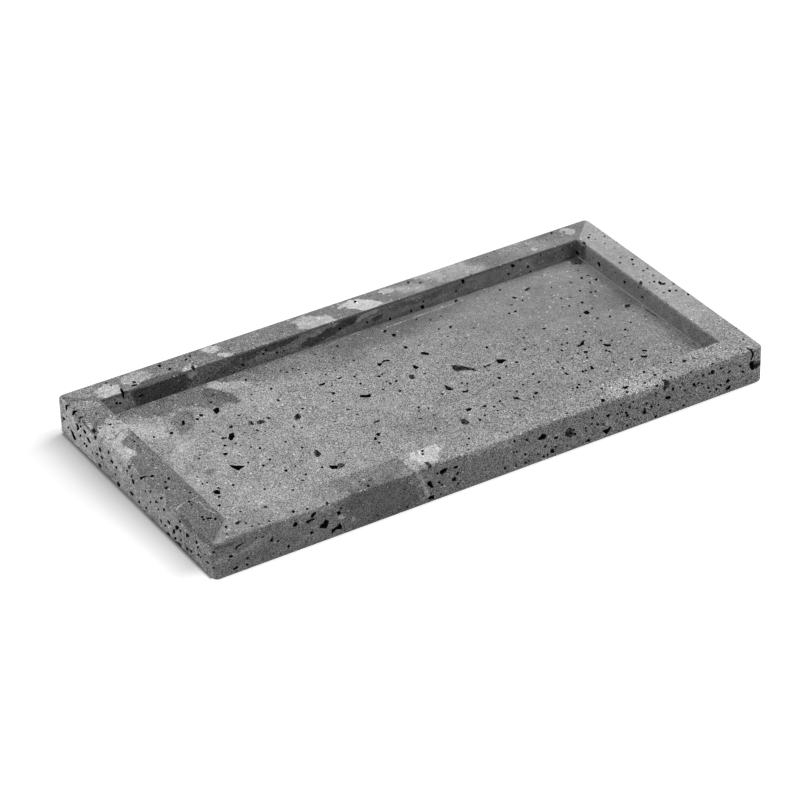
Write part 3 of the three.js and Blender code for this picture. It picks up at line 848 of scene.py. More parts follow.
def add_block(name: str, low: Vector, high: Vector) -> Piece:
    """Adds a block between two corners, with its place in its mesh.

    Args:
        name: the new object's name.
        low: the lowest corner in mm.
        high: the highest corner in mm.

    Returns:
        The new object.
    """
    deselect_all()
    middle = (low + high) / 2 * MM
    bpy.ops.mesh.primitive_cube_add(size=1.0, location=middle, scale=(high - low) * MM)
    block = bpy.context.object
    block.name = name
    block.data.name = name
    bpy.ops.object.transform_apply(location=True, rotation=True, scale=True)
    return block


def select_edges(piece: Piece, wanted: Callable[[Vector, Vector], bool]) -> None:
    """Selects the edges of a piece in edit mode whose two ends pass a test.

    Args:
        piece: the piece, in edit mode.
        wanted: a test on the two ends of an edge, in mm.
    """
    bpy.ops.mesh.select_mode(type="EDGE")
    bpy.ops.mesh.select_all(action="DESELECT")
    mesh = bmesh.from_edit_mesh(piece.data)
    for edge in mesh.edges:
        first, second = (vertex.co / MM for vertex in edge.verts)
        edge.select_set(wanted(first, second))
    bmesh.update_edit_mesh(piece.data)


def bevel(width: float, segments: int) -> None:
    """Rounds the selected edges by a width in mm."""
    bpy.ops.mesh.bevel(offset=width * MM, segments=segments, affect="EDGES", clamp_overlap=False)


def keep_below(point: Vector, normal: Vector) -> None:
    """Cuts the piece in edit mode by a plane, drops what lies above it and closes the cut.

    Args:
        point: a point of the plane in mm.
        normal: the side of the plane that is dropped.
    """
    bpy.ops.mesh.select_all(action="SELECT")
    bpy.ops.mesh.bisect(
        plane_co=point * MM,
        plane_no=normal,
        use_fill=True,
        clear_outer=True,
        threshold=WELD,
    )


def close_up() -> None:
    """Merges doubled points of the piece in edit mode and turns its faces outwards."""
    bpy.ops.mesh.select_all(action="SELECT")
    bpy.ops.mesh.remove_doubles(threshold=WELD)
    bpy.ops.mesh.normals_make_consistent(inside=False)


def smooth(piece: Piece, angle: float) -> None:
    """Shades a piece smooth below an angle, and keeps its flat faces flat.

    Args:
        piece: the piece.
        angle: the angle in degrees.
    """
    make_active(piece)
    bpy.ops.object.shade_smooth_by_angle(angle=math.radians(angle))
    weighting = piece.modifiers.new("weighted_normals", "WEIGHTED_NORMAL")
    weighting.keep_sharp = True
    bpy.ops.object.modifier_apply(modifier=weighting.name)


def rounded_blank(name: str, sizes: TraySizes) -> Piece:
    """Models the tray's whole outer form, with its corners and outer edges rounded.

    Args:
        name: the new object's name.
        sizes: the tray's sizes.

    Returns:
        The new object.
    """
    corner_steps = 16
    edge_steps = 10
    low = Vector((-sizes.half.x, -sizes.half.y, sizes.stone_bottom))
    high = Vector((sizes.half.x, sizes.half.y, sizes.rim_top))
    blank = add_block(name, low, high)
    with edit_mode(blank):
        select_edges(blank, lambda first, second: abs(first.z - second.z) > LEVEL)
        bevel(sizes.corner_radius, corner_steps)
        select_edges(blank, lambda first, second: min(first.z, second.z) > sizes.rim_top - LEVEL)
        bevel(sizes.top_edge_radius, edge_steps)
        select_edges(blank, lambda first, second: max(first.z, second.z) < sizes.stone_bottom + LEVEL)
        bevel(sizes.low_edge_radius, edge_steps)
    return blank


class PitCutter:
    """Models a few forms of pit once, and cuts copies of them out of the stone."""

    FORM_SEEDS = (3, 8, 21, 34, 55, 89, 144, 233)
    FORM_RADIUS = 0.95  # of the ball, whose points then move outwards
    FORM_STEPS = 2
    FORM_JITTER = 0.4
    FORM_NORMAL = 0.8  # share of that which goes outwards
    FORM_REACH = 1.4  # the furthest point of a form
    LIP = 0.8  # mm that the form of an outlined pit stands out of the face
    RINGS = ((0.0, 1.06), (0.5, 0.9), (1.0, 0.6))  # its rings: share of the depth, share of the outline

    def __init__(self) -> None:
        """Models the forms."""
        self.forms = [self._form(seed) for seed in self.FORM_SEEDS]

    def _form(self, seed: int) -> Piece:
        """Models one ragged ball of about unit radius.

        Args:
            seed: what makes it differ from the others.

        Returns:
            The ball.
        """
        deselect_all()
        bpy.ops.mesh.primitive_ico_sphere_add(subdivisions=self.FORM_STEPS, radius=self.FORM_RADIUS)
        form = bpy.context.object
        form.name = f"pit_form_{seed}"
        with edit_mode(form):
            bpy.ops.mesh.select_all(action="SELECT")
            bpy.ops.transform.vertex_random(
                offset=self.FORM_JITTER, uniform=0.0, normal=self.FORM_NORMAL, seed=seed
            )
            bpy.ops.mesh.normals_make_consistent(inside=False)
        return form

    def _outlined(self, hollow: Hollow) -> bpy.types.Mesh:
        """Models the form of a pit with an outline, from its lip down to its bottom.

        Args:
            hollow: the pit.

        Returns:
            Its mesh, in its place.
        """
        form = bmesh.new()
        rings = []
        for level, share in self.RINGS:
            height = -level * hollow.half.z if level else self.LIP
            flat = [Vector((point.x * share, point.y * share, height)) for point in hollow.outline]
            places = [(hollow.middle + hollow.axes @ point) * MM for point in flat]
            rings.append([form.verts.new(place) for place in places])
        for upper, lower in zip(rings, rings[1:]):
            for corner in range(len(upper)):
                form.faces.new((upper[corner - 1], upper[corner], lower[corner], lower[corner - 1]))
        form.faces.new(rings[0])
        form.faces.new(rings[-1])
        bmesh.ops.recalc_face_normals(form, faces=form.faces)
        mesh = bpy.data.meshes.new("pit")
        form.to_mesh(mesh)
        form.free()
        return mesh

    def _mesh(self, hollow: Hollow) -> bpy.types.Mesh:
        """Makes a mesh of a hollow's form, in its place.

        Args:
            hollow: the hollow.

        Returns:
            The mesh.
        """
        if hollow.outline:
            return self._outlined(hollow)
        mesh = self.forms[hollow.form].data.copy()
        mesh.transform(hollow.matrix())
        return mesh

    def clear(self) -> None:
        """Deletes the forms once every piece is cut."""
        for form in self.forms:
            bpy.data.meshes.remove(form.data)

    @staticmethod
    def layers(hollows: Sequence[Hollow]) -> list[list[Hollow]]:
        """Sorts hollows into layers whose members lie clear of each other.

        Args:
            hollows: the hollows to sort.

        Returns:
            The layers, of which the first is the fullest.
        """
        made: list[list[Hollow]] = []
        for hollow in hollows:
            for layer in made:
                if hollow.clear_of(layer):
                    layer.append(hollow)
                    break
            else:
                made.append([hollow])
        return made

    def _joined(self, layer: Sequence[Hollow], piece: Piece) -> Piece:
        """Copies the forms to the hollows of a layer, and joins the copies.

        Args:
            layer: hollows that lie clear of each other.
            piece: the piece that they are cut from, whose materials they take.

        Returns:
            The joined cutter.
        """
        deselect_all()
        copies = []
        for hollow in layer:
            mesh = self._mesh(hollow)
            for material in piece.data.materials:
                mesh.materials.append(material)
            for polygon in mesh.polygons:
                polygon.material_index = hollow.lining.value
            copy = bpy.data.objects.new("pit", mesh)
            bpy.context.collection.objects.link(copy)
            copy.select_set(True)
            copies.append(copy)
        bpy.context.view_layer.objects.active = copies[0]
        bpy.ops.object.join()
        return copies[0]

    def cut(self, piece: Piece, hollows: Sequence[Hollow]) -> None:
        """Cuts hollows out of a piece.

        Args:
            piece: the piece, with its materials.
            hollows: what is cut out of it.
        """
        for layer in self.layers(hollows):
            cutter = self._joined(layer, piece)
            make_active(piece)
            cut = piece.modifiers.new("pits", "BOOLEAN")
            cut.operation = "DIFFERENCE"
            cut.solver = "MANIFOLD"
            cut.material_mode = "INDEX"
            cut.object = cutter
            bpy.ops.object.modifier_apply(modifier=cut.name)
            bpy.data.meshes.remove(cutter.data)
        self._drop_crumbs(piece)

    @staticmethod
    def _drop_crumbs(piece: Piece) -> None:
        """Deletes the bits that the cuts left loose.

        Args:
            piece: the piece that was cut.
        """
        with edit_mode(piece):
            mesh = bmesh.from_edit_mesh(piece.data)
            left = set(mesh.faces)
            bits = []
            while left:
                bit = [left.pop()]
                for face in bit:  # the list grows while it is walked
                    for edge in face.edges:
                        fresh = left.intersection(edge.link_faces)
                        left -= fresh
                        bit.extend(fresh)
                bits.append(bit)
            for bit in sorted(bits, key=len)[:-1]:
                bmesh.ops.delete(mesh, geom=bit, context="FACES")
            bmesh.update_edit_mesh(piece.data)


# Materials

@dataclass(frozen=True)
class Polish:
    """How a finish takes the light: its roughness, its specular level and its bump."""

    roughness: float
    spread: float  # what its pattern adds to the roughness
    specular: float
    bump: float  # strength
    height: float  # in mm


def _operator(operation: str, reflected: bool = False) -> Callable[["Value", object], "Value"]:
    """Makes an operator of Value.

    Args:
        operation: the operation of the Math node that it adds.
        reflected: whether the value stands on the right of the other.

    Returns:
        The operator.
    """
    def operator(value: "Value", other: object) -> "Value":
        """Adds the node."""
        first, second = (other, value) if reflected else (value, other)
        return value._math(operation, first, second)

    return operator


@dataclass(frozen=True)
class Value:
    """An output of a node. Operators on it add Math nodes."""

    shader: "Shader"
    socket: bpy.types.NodeSocket

    def _math(self, operation: str, first: object, second: object) -> "Value":
        """Adds one Math node."""
        return self.shader.node("Math", {"operation": operation}, {0: first, 1: second})

    __add__ = _operator("ADD")
    __radd__ = _operator("ADD", reflected=True)
    __sub__ = _operator("SUBTRACT")
    __rsub__ = _operator("SUBTRACT", reflected=True)
    __mul__ = _operator("MULTIPLY")
    __rmul__ = _operator("MULTIPLY", reflected=True)
    __gt__ = _operator("GREATER_THAN")

    def at_most(self, ceiling: float) -> "Value":
        """The value, but no higher than a ceiling."""
        return self._math("MINIMUM", self, ceiling)

    def at_least(self, floor: float) -> "Value":
        """The value, but no lower than a floor."""
        return self._math("MAXIMUM", self, floor)

    def step(self, start: float, end: float) -> "Value":
        """Rises smoothly from 0 at start to 1 at end, where end may be the lower of the two."""
        settings = {"interpolation_type": "SMOOTHSTEP", "clamp": True}
        sockets = {"Value": self, "From Min": start, "From Max": end, "To Min": 0.0, "To Max": 1.0}
        return self.shader.node("MapRange", settings, sockets)

    def mix(self, other: object, mask: object) -> "Value":
        """Goes from this to another value as a mask goes from 0 to 1."""
        return self.shader.node("Mix", {"data_type": "FLOAT"}, {0: mask, 2: self, 3: other})


NOISE_ROUGHNESS = 0.62
SPECK_CORE = 0.4  # share of a speck's radius within which it shows in full


class Shader:
    """A node tree, with one method that adds any node."""

    def __init__(self, tree: bpy.types.NodeTree) -> None:
        """Takes an empty or new node tree."""
        self.tree = tree

    @classmethod
    def of_material(cls, name: str) -> tuple["Shader", Material]:
        """Makes a material with a Principled shader, and its node tree's wrapper."""
        material = bpy.data.materials.new(name)
        material.use_nodes = True
        return cls(material.node_tree), material

    def node(
        self,
        kind: str,
        settings: Mapping[str, object] | None = None,
        sockets: Mapping[str | int, object] | None = None,
        output: str | int = 0,
    ) -> Value:
        """Adds a node.

        Args:
            kind: the node's type, without the ShaderNode that all of them start with.
            settings: what is set on the node first, such as an operation.
            sockets: values or links of its inputs, by name or number.
            output: the output that is wanted, by name or number.

        Returns:
            That output.
        """
        made = self.tree.nodes.new(f"ShaderNode{kind}")
        for name, setting in (settings or {}).items():
            setattr(made, name, setting)
        for key, value in (sockets or {}).items():
            self.feed(made.inputs[key], value)
        return Value(self, made.outputs[output])

    def feed(self, socket: bpy.types.NodeSocket, value: object) -> None:
        """Sets an input, or links it where the value is an output.

        Args:
            socket: the input.
            value: a plain value or an output.
        """
        if isinstance(value, Value):
            self.tree.links.new(value.socket, socket)
        else:
            socket.default_value = value

    def surface(self, **sockets: object) -> None:
        """Feeds inputs of the Principled shader, named in lower case with underscores."""
        shader = self.tree.nodes["Principled BSDF"]
        for name, value in sockets.items():
            self.feed(shader.inputs[name.replace("_", " ").title().replace("Ior", "IOR")], value)

    def millimetres(self, shift: Vector = Vector()) -> Value:
        """Gives the place on the piece.

        Args:
            shift: mm that it is moved by, which gives each piece its own pattern.

        Returns:
            The place in mm.
        """
        metres = self.node("TexCoord", output="Object")
        scale = {"operation": "MULTIPLY_ADD"}
        factors = {0: metres, 1: (1 / MM,) * 3, 2: tuple(shift)}
        return self.node("VectorMath", scale, factors)

    def grey(self, tone: Value) -> Value:
        """A value as a grey colour."""
        return self.node("CombineColor", {}, {0: tone, 1: tone, 2: tone})

    def dress(self, tone: Value, relief: Value, pattern: Value, polish: Polish) -> None:
        """Feeds the Principled shader of a finish.

        Args:
            tone: the grey of the surface.
            relief: the height of the surface, for its bump.
            pattern: what the roughness follows.
            polish: how the finish takes the light.
        """
        bump = {"Strength": polish.bump, "Distance": polish.height * MM, "Height": relief}
        self.surface(
            base_color=self.grey(tone),
            roughness=polish.roughness + pattern * polish.spread,
            specular_ior_level=polish.specular,
            normal=self.node("Bump", {}, bump),
        )

    def level(self, place: Value) -> list[Value]:
        """The two level parts of a place: along the tray and across it."""
        return [self.node("SeparateXYZ", {}, {0: place}, axis) for axis in "XY"]

    def noise(self, place: Value, size: float, detail: float = 3.0, output: str = "Fac") -> Value:
        """Noise from 0 to 1 with features of a size in mm."""
        sockets = {"Vector": place, "Scale": 1 / size, "Detail": detail, "Roughness": NOISE_ROUGHNESS}
        return self.node("TexNoise", {"noise_dimensions": "3D"}, sockets, output)

    def swing(self, place: Value, size: float, detail: float = 3.0) -> Value:
        """Noise from -0.5 to 0.5 with features of a size in mm."""
        return self.noise(place, size, detail) - 0.5

    def cells(self, place: Value, size: float, output: str) -> Value:
        """Cells of a size in mm."""
        sockets = {"Vector": place, "Scale": 1 / size, "Randomness": 1.0}
        return self.node("TexVoronoi", {}, sockets, output)

    def crystals(self, place: Value, size: float) -> Value:
        """Cells of a size in mm, each with a value of its own from 0 to 1."""
        colour = self.cells(place, size, "Color")
        return self.node("SeparateColor", {}, {0: colour}, "Red")

    def within(self, place: Value, middle: Vector, axes: Matrix, half: Sequence[float]) -> Value:
        """A place as seen from a middle along some axes, where each half size counts as 1.

        Args:
            place: the place on the piece in mm.
            middle: the middle in mm.
            axes: the axes, as the columns of a matrix.
            half: the half sizes in mm.

        Returns:
            The place in those terms.
        """
        sockets = {"Vector": place, "Location": middle, "Rotation": axes.to_euler(), "Scale": half}
        return self.node("Mapping", {"vector_type": "TEXTURE"}, sockets)

    def specks(self, place: Value, spacing: float, radius: float, share: float) -> Value:
        """A mask of small round specks.

        Args:
            place: the place on the piece in mm.
            spacing: the size of the cells that hold one speck each, in mm.
            radius: the largest radius of a speck in mm.
            share: the share of cells whose speck shows.

        Returns:
            1 inside a speck, 0 elsewhere.
        """
        shown = self.crystals(place, spacing) > 1.0 - share
        full = radius * SPECK_CORE
        return self.cells(place, spacing, "Distance").step(radius / spacing, full / spacing) * shown

    def warped(self, place: Value, size: float, reach: float) -> Value:
        """Pushes a place about by noise.

        Args:
            place: the place in mm.
            size: the size of the noise in mm.
            reach: twice the furthest that it pushes, in mm.

        Returns:
            The place where it ends up.
        """
        noise = self.noise(place, size, output="Color")
        centred = {0: noise, 1: (0.5, 0.5, 0.5)}
        push = self.node("VectorMath", {"operation": "SUBTRACT"}, centred)
        pushed = {0: push, 1: (reach,) * 3, 2: place}
        return self.node("VectorMath", {"operation": "MULTIPLY_ADD"}, pushed)


@dataclass(frozen=True)
class StoneField:
    """What the marks of a stone are drawn with: its nodes, its places in mm and a ragged noise."""

    shader: Shader
    place: Value
    straight: Value  # the place before it is pushed about
    ragged: Value
    planes: dict[Face, Plane]
    camera: PhotoCamera

    def blot(
        self,
        middle: Vector,
        axes: Matrix,
        half: Sequence[float],
        ragged: float,
        soft: float,
        straight: bool = False,
    ) -> Value:
        """Adds the mask of one blot.

        Args:
            middle: its middle in mm.
            axes: its axes, as the columns of a matrix.
            half: its half sizes in mm.
            ragged: how much noise eats into its outline.
            soft: how wide its outline fades, as a share of its half size.
            straight: whether it keeps to its place, where other blots are pushed about a little.

        Returns:
            1 inside the blot, 0 outside.
        """
        place = self.straight if straight else self.place
        inside = self.shader.within(place, middle, axes, half)
        away = self.shader.node("VectorMath", {"operation": "LENGTH"}, {0: inside}, "Value")
        return (away + self.ragged * ragged).step(1.0 + soft, 1.0 - soft)


@dataclass(frozen=True)
class Patch:
    """A cloud or stain of the stone, or a patch of painted light or shade on a face: its pixel, its real
    half sizes in mm and the grey it tends to.
    """

    face: Face
    pixel_x: float
    pixel_y: float
    length: float
    width: float
    tone: float
    turn: float = 0.0
    depth: float = 4.0
    soft: float = 0.15
    ragged: float = 1.6
    straight: bool = False

    def masks(self, stone: StoneField) -> list[Value]:
        """Adds the mask of the patch.

        Args:
            stone: what it is drawn with.

        Returns:
            The mask, alone in a list.
        """
        plane = stone.planes[self.face]
        middle = stone.camera.spot(self.pixel_x, self.pixel_y, plane)
        axes = plane.frame(LEAN.get(self.face, 0.0) + self.turn)
        half = (self.length, self.width, self.depth)
        return [stone.blot(middle, axes, half, self.ragged, self.soft, self.straight)]


@dataclass(frozen=True)
class VeinOrPaintedLightBand:
    """A thin line through pixels of a face, a vein of the stone or a band of painted light or shade: its
    half width in mm and the grey it tends to.
    """

    face: Face
    pixels: tuple[Pixel, ...]
    width: float
    tone: float
    depth: float = 4.0
    soft: float = 0.4
    ragged: float = 1.0
    straight: bool = False

    def masks(self, stone: StoneField) -> list[Value]:
        """Adds the masks of the line's stretches, one from each pixel to the next.

        Args:
            stone: what they are drawn with.

        Returns:
            The masks.
        """
        plane = stone.planes[self.face]
        spots = [stone.camera.spot(x, y, plane) for x, y in self.pixels]
        made = []
        for first, second in zip(spots, spots[1:]):
            along = (second - first).normalized()
            axes = Matrix((along, plane.normal.cross(along), plane.normal)).transposed()
            half = ((second - first).length / 2 + self.width, self.width, self.depth)
            middle = (first + second) / 2
            made.append(stone.blot(middle, axes, half, self.ragged, self.soft, self.straight))
        return made


# The stone's layers. Sizes are in mm
TRAY_SPAN = (-150.0, 150.0)  # from the left-hand end of the tray to the right-hand end
CLOUD_SIZE = 26.0
MOTTLE_SIZE = 7.0
STREAK_SIZE = 1.8
STREAK_STRETCH = (6.0, 1.0, 1.6)  # of the streaks along, across and through the bedding
FLECK_SIZE = 1.9
FLECK_DEPTH = 0.06
PALE_FLECKS = (0.6, 0.72)  # where in the noise they start, and where they are full
DARK_FLECKS = (0.4, 0.28)
CRYSTAL_SIZE = 0.28
CRYSTAL_STEP = (0.25, 0.75)
SOFT_GRAIN_SIZE = 1.3
SOFT_GRAIN = 0.05  # its share of the grain
GRAIN_DEPTH = (0.06, 1.5)  # how far the grain moves the grey: a fixed part, and a share of the grey
GRAIN_TONE = 0.28  # the grey above which the grain moves it no further
DARKEST = 0.025  # the darkest grain
FAR_WAY = (0.51, 0.86)  # the way along and across the tray in which the grain grows calmer
FAR_SPAN = (10.0, 75.0)  # where along that way it starts and ends to do so
FAR_CALM = 0.6  # the share of the grain that is gone there
MARK_WARP = (9.0, 6.0)  # size and reach of what pushes the marks about
RAGGED_SIZE = 5.0
RAGGED_DETAIL = 5.0
# Specks: spacing, largest radius, and the share of places that have one
LIGHT_SPECKS = (2.4, 0.6, 0.12)
DARK_SPECKS = (2.8, 0.5, 0.14)
GLINTS = (1.9, 0.6)  # the share is the finish's own
# What specks multiply the grey by, and what they add to it
LIGHT_GAIN = (1.4, 0.05)
GLINT_GAIN = (1.3, 0.32)
DARK_GAIN = (0.35, 0.0)
# Shares of the relief
GRAIN_RELIEF = 0.45
MOTTLE_RELIEF = 0.8
SPECK_RELIEF = 0.8


@dataclass(frozen=True)
class StoneFinish:
    """Honed travertine: a grey with clouds, mottling, streaks, grain and specks, and listed marks."""

    name: str
    tone: float
    shift: Vector
    bedding: tuple[Face, float]  # streaks run on this face at this angle in degrees
    cloud: float = 0.5
    mottle: float = 0.7
    streaks: float = 0.3
    grain: float = 1.0
    calm_end: float = 1.0  # share of the grain that is left at the right-hand end of the tray
    glints: float = 0.1  # share of the cells in which a bright crystal shows
    tone_end: float = 1.0  # share of the tone that is left there
    marks: tuple[Patch | VeinOrPaintedLightBand, ...] = ()
    polish: Polish = Polish(0.62, 0.3, 0.22, 0.3, 0.12)

    def _ground(self, stone: StoneField) -> Value:
        """Lays the marks over the grey of the stone.

        Args:
            stone: what the marks are drawn with.

        Returns:
            The grey before clouds and grain.
        """
        tone: Value | float = self.tone
        for mark in self.marks:
            for mask in mark.masks(stone):
                sockets = {0: mask, 2: tone, 3: mark.tone}
                tone = stone.shader.node("Mix", {"data_type": "FLOAT"}, sockets)
        return tone

    def material(self, planes: dict[Face, Plane], camera: PhotoCamera) -> Material:
        """Makes the material.

        Args:
            planes: the tray's faces, for the marks.
            camera: the photograph's camera, for the marks.

        Returns:
            The material.
        """
        shader, material = Shader.of_material(self.name)
        place = shader.millimetres()
        own = shader.millimetres(self.shift)
        face, angle = self.bedding
        bedded = shader.within(own, Vector(), planes[face].frame(angle), STREAK_STRETCH)
        cloud = shader.swing(own, CLOUD_SIZE)
        mottle = shader.swing(own, MOTTLE_SIZE)
        streaks = shader.swing(bedded, STREAK_SIZE)
        flecks = shader.noise(own, FLECK_SIZE)
        crystals = shader.crystals(own, CRYSTAL_SIZE).step(*CRYSTAL_STEP) - 0.5
        grain = crystals + shader.swing(own, SOFT_GRAIN_SIZE, 1.0) * SOFT_GRAIN
        along, across = shader.level(place)
        end = along.step(*TRAY_SPAN)
        far = (along * FAR_WAY[0] + across * FAR_WAY[1]).step(*FAR_SPAN)
        grain = grain * (self.grain - end * (self.grain * (1.0 - self.calm_end)))
        grain = grain * (1.0 - far * FAR_CALM)
        edges = shader.warped(place, *MARK_WARP)
        ragged = shader.swing(place, RAGGED_SIZE, RAGGED_DETAIL)
        tone = self._ground(StoneField(shader, edges, place, ragged, planes, camera))
        tone = tone * (1.0 - end * (1.0 - self.tone_end))
        tone = tone * (1.0 + cloud * self.cloud + mottle * self.mottle + streaks * (2.0 * self.streaks))
        depth = GRAIN_DEPTH[0] + tone.at_most(GRAIN_TONE) * GRAIN_DEPTH[1]
        tone = (tone + grain * depth).at_least(DARKEST)
        pale_flecks = flecks.step(*PALE_FLECKS)
        dark_flecks = flecks.step(*DARK_FLECKS)
        tone = tone * (1.0 + pale_flecks * FLECK_DEPTH - dark_flecks * FLECK_DEPTH)
        light = shader.specks(own, *LIGHT_SPECKS)
        dark = shader.specks(own, *DARK_SPECKS)
        glints = shader.specks(own, *GLINTS, self.glints)
        for mask, (gain, lift) in ((light, LIGHT_GAIN), (glints, GLINT_GAIN), (dark, DARK_GAIN)):
            tone = tone.mix(tone * gain + lift, mask)
        relief = grain * GRAIN_RELIEF + mottle * MOTTLE_RELIEF - dark * SPECK_RELIEF
        shader.dress(tone, relief, mottle, self.polish)
        return material


@dataclass(frozen=True)
class LiningFinish:
    """What lines the pits: a dark crust, with crystals that catch the light; its darkness is partly the
    pits' own dirt and partly painted shade inside them.
    """

    name: str
    tone: float
    glints: float
    base: float = 0.3  # share of the tone where the grain is 0
    contrast: float = 1.4  # share of the tone that the grain adds
    grain: float = 0.8  # size of the grain and the crystals in mm
    polish: Polish = Polish(0.8, 0.15, 0.1, 0.6, 0.2)

    def material(self) -> Material:
        """Makes the material.

        Returns:
            The material.
        """
        shader, material = Shader.of_material(self.name)
        place = shader.millimetres()
        grain = shader.noise(place, self.grain)
        crystals = shader.crystals(place, self.grain)
        crust = self.tone * (self.base + self.contrast * grain)
        tone = crust + crystals * crystals * crystals * self.glints
        shader.dress(tone, grain, grain, self.polish)
        return material


@dataclass(frozen=True)
class AdhesiveFinish:
    """Cured stone adhesive, ground flush."""

    name: str
    tone: float
    base: float = 0.7  # share of the tone where its clouds and grain are 0
    contrast: float = 0.3  # share of the tone that each of them adds
    cloud: float = 3.0  # size of the clouds in mm
    grain: float = 0.5  # size of the grain in mm
    polish: Polish = Polish(0.45, 0.2, 0.3, 0.3, 0.08)

    def material(self) -> Material:
        """Makes the material.

        Returns:
            The material.
        """
        shader, material = Shader.of_material(self.name)
        place = shader.millimetres()
        cloud = shader.noise(place, self.cloud)
        grain = shader.noise(place, self.grain, 2.0)
        tone = self.tone * (self.base + self.contrast * cloud + self.contrast * grain)
        shader.dress(tone, grain, cloud, self.polish)
        return material


@dataclass(frozen=True)
class FeltFinish:
    """Pressed grey felt with short fibres that lie every way."""

    name: str = "pressed_felt"
    tone: float = 0.07
    base: float = 0.4  # share of the tone between the fibres
    contrast: float = 1.2  # share of the tone that the fibres add
    tangle: Span = (0.8, 1.2)  # size and reach of what pushes the fibres about, in mm
    fibre: float = 1.2  # length of the fibres in mm
    ways: tuple[tuple[float, float, float], ...] = ((6.0, 1.0, 3.0), (1.0, 6.0, 3.0))
    polish: Polish = Polish(0.88, 0.1, 0.15, 0.7, 0.15)

    def material(self) -> Material:
        """Makes the material.

        Returns:
            The material.
        """
        shader, material = Shader.of_material(self.name)
        tangle = shader.warped(shader.millimetres(), *self.tangle)
        across, along = (
            shader.node("Mapping", {}, {"Vector": tangle, "Scale": way}) for way in self.ways
        )
        fibres = shader.noise(across, self.fibre) * 0.5 + shader.noise(along, self.fibre) * 0.5
        tone = self.tone * (self.base + self.contrast * fibres)
        shader.dress(tone, fibres, fibres, self.polish)
        return material


FLOOR_STONE = StoneFinish(
    "floor_stone_honed",
    tone=0.325,
    shift=Vector((410.0, 35.0, 12.0)),
    bedding=(Face.FLOOR, -31.0),
    streaks=0.15,
    glints=0.18,
    # Painted shade: the floor darkens towards the right-hand end, standing in for light that falls from the
    # left
    tone_end=0.68,
    marks=(
        # Painted shade: darker bands on the floor along the back wall, where the back rail shades it
        VeinOrPaintedLightBand(Face.FLOOR, ((115, 418), (189, 393), (277, 363)), 6.0, 0.18, soft=0.7),
        VeinOrPaintedLightBand(Face.FLOOR, ((277, 365), (331, 347), (384, 329), (436, 308)), 11.0, 0.17, soft=0.8),
        VeinOrPaintedLightBand(Face.FLOOR, ((436, 305), (490, 287), (571, 260)), 4.5, 0.25, soft=0.7),
        # Painted light: a paler band on the floor along the right wall, easing the shadow that the right
        # rail casts there
        VeinOrPaintedLightBand(Face.FLOOR, ((577, 262), (617, 291), (664, 325), (700, 352)), 3.5, 0.37, soft=0.7),
        Patch(Face.FLOOR, 262, 400, 9.0, 13.0, 0.38, soft=0.6),
        Patch(Face.FLOOR, 318, 362, 16.0, 9.0, 0.23, soft=0.6),
        Patch(Face.FLOOR, 425, 425, 12.0, 9.0, 0.27, soft=0.6),
        Patch(Face.FLOOR, 615, 300, 14.0, 9.0, 0.27, soft=0.5),
        Patch(Face.FLOOR, 553, 279, 10.0, 8.0, 0.37, soft=0.5),
        Patch(Face.FLOOR, 198, 399, 19.0, 8.0, 0.16),
        Patch(Face.FLOOR, 150, 409, 12.0, 7.0, 0.17),
        Patch(Face.FLOOR, 184, 421, 4.5, 11.0, 0.18),
        Patch(Face.FLOOR, 228, 385, 12.0, 3.4, 0.42),
        VeinOrPaintedLightBand(Face.FLOOR, ((206, 392), (220, 396), (233, 400)), 4.2, 0.11, soft=0.15, ragged=0.8),
        Patch(Face.FLOOR, 209, 472, 3.0, 2.6, 0.2),
        Patch(Face.FLOOR, 145, 431, 10.5, 7.5, 0.46),
        VeinOrPaintedLightBand(Face.FLOOR, ((446, 364.5), (453, 364.5)), 0.6, 0.5),
        VeinOrPaintedLightBand(Face.FLOOR, ((462, 373), (474, 373.5), (485, 374)), 0.8, 0.46),
        VeinOrPaintedLightBand(Face.FLOOR, ((472, 366), (481, 364.5), (492, 363)), 0.5, 0.44),
        Patch(Face.FLOOR, 180, 456, 5.0, 13.0, 0.42),
        Patch(Face.FLOOR, 195, 482, 5.0, 9.0, 0.4),
        Patch(Face.FLOOR, 255, 497, 13.0, 8.0, 0.35, soft=0.4),
        VeinOrPaintedLightBand(
            Face.FLOOR, ((388, 327), (410, 319), (432, 311), (454, 303.5)),
            width=0.32, tone=0.44, soft=0.4, ragged=0.3, straight=True,
        ),
        VeinOrPaintedLightBand(Face.FLOOR, ((322, 348), (342, 339), (360, 331.5)), 0.3, 0.34, ragged=0.3, straight=True),
        VeinOrPaintedLightBand(
            Face.FLOOR, ((588, 264.5), (612, 282), (640, 302.5), (668, 322.5), (700, 346.5)),
            width=0.65, tone=0.56, soft=0.25, ragged=0.2, straight=True,
        ),
        VeinOrPaintedLightBand(Face.FLOOR, ((645, 309), (650, 312), (657, 317)), 0.4, 0.05, straight=True),
        # Painted shade in the inner corner at the back right
        Patch(Face.FLOOR, 577, 260, 5.0, 4.0, 0.08, soft=0.4),
    ),
)
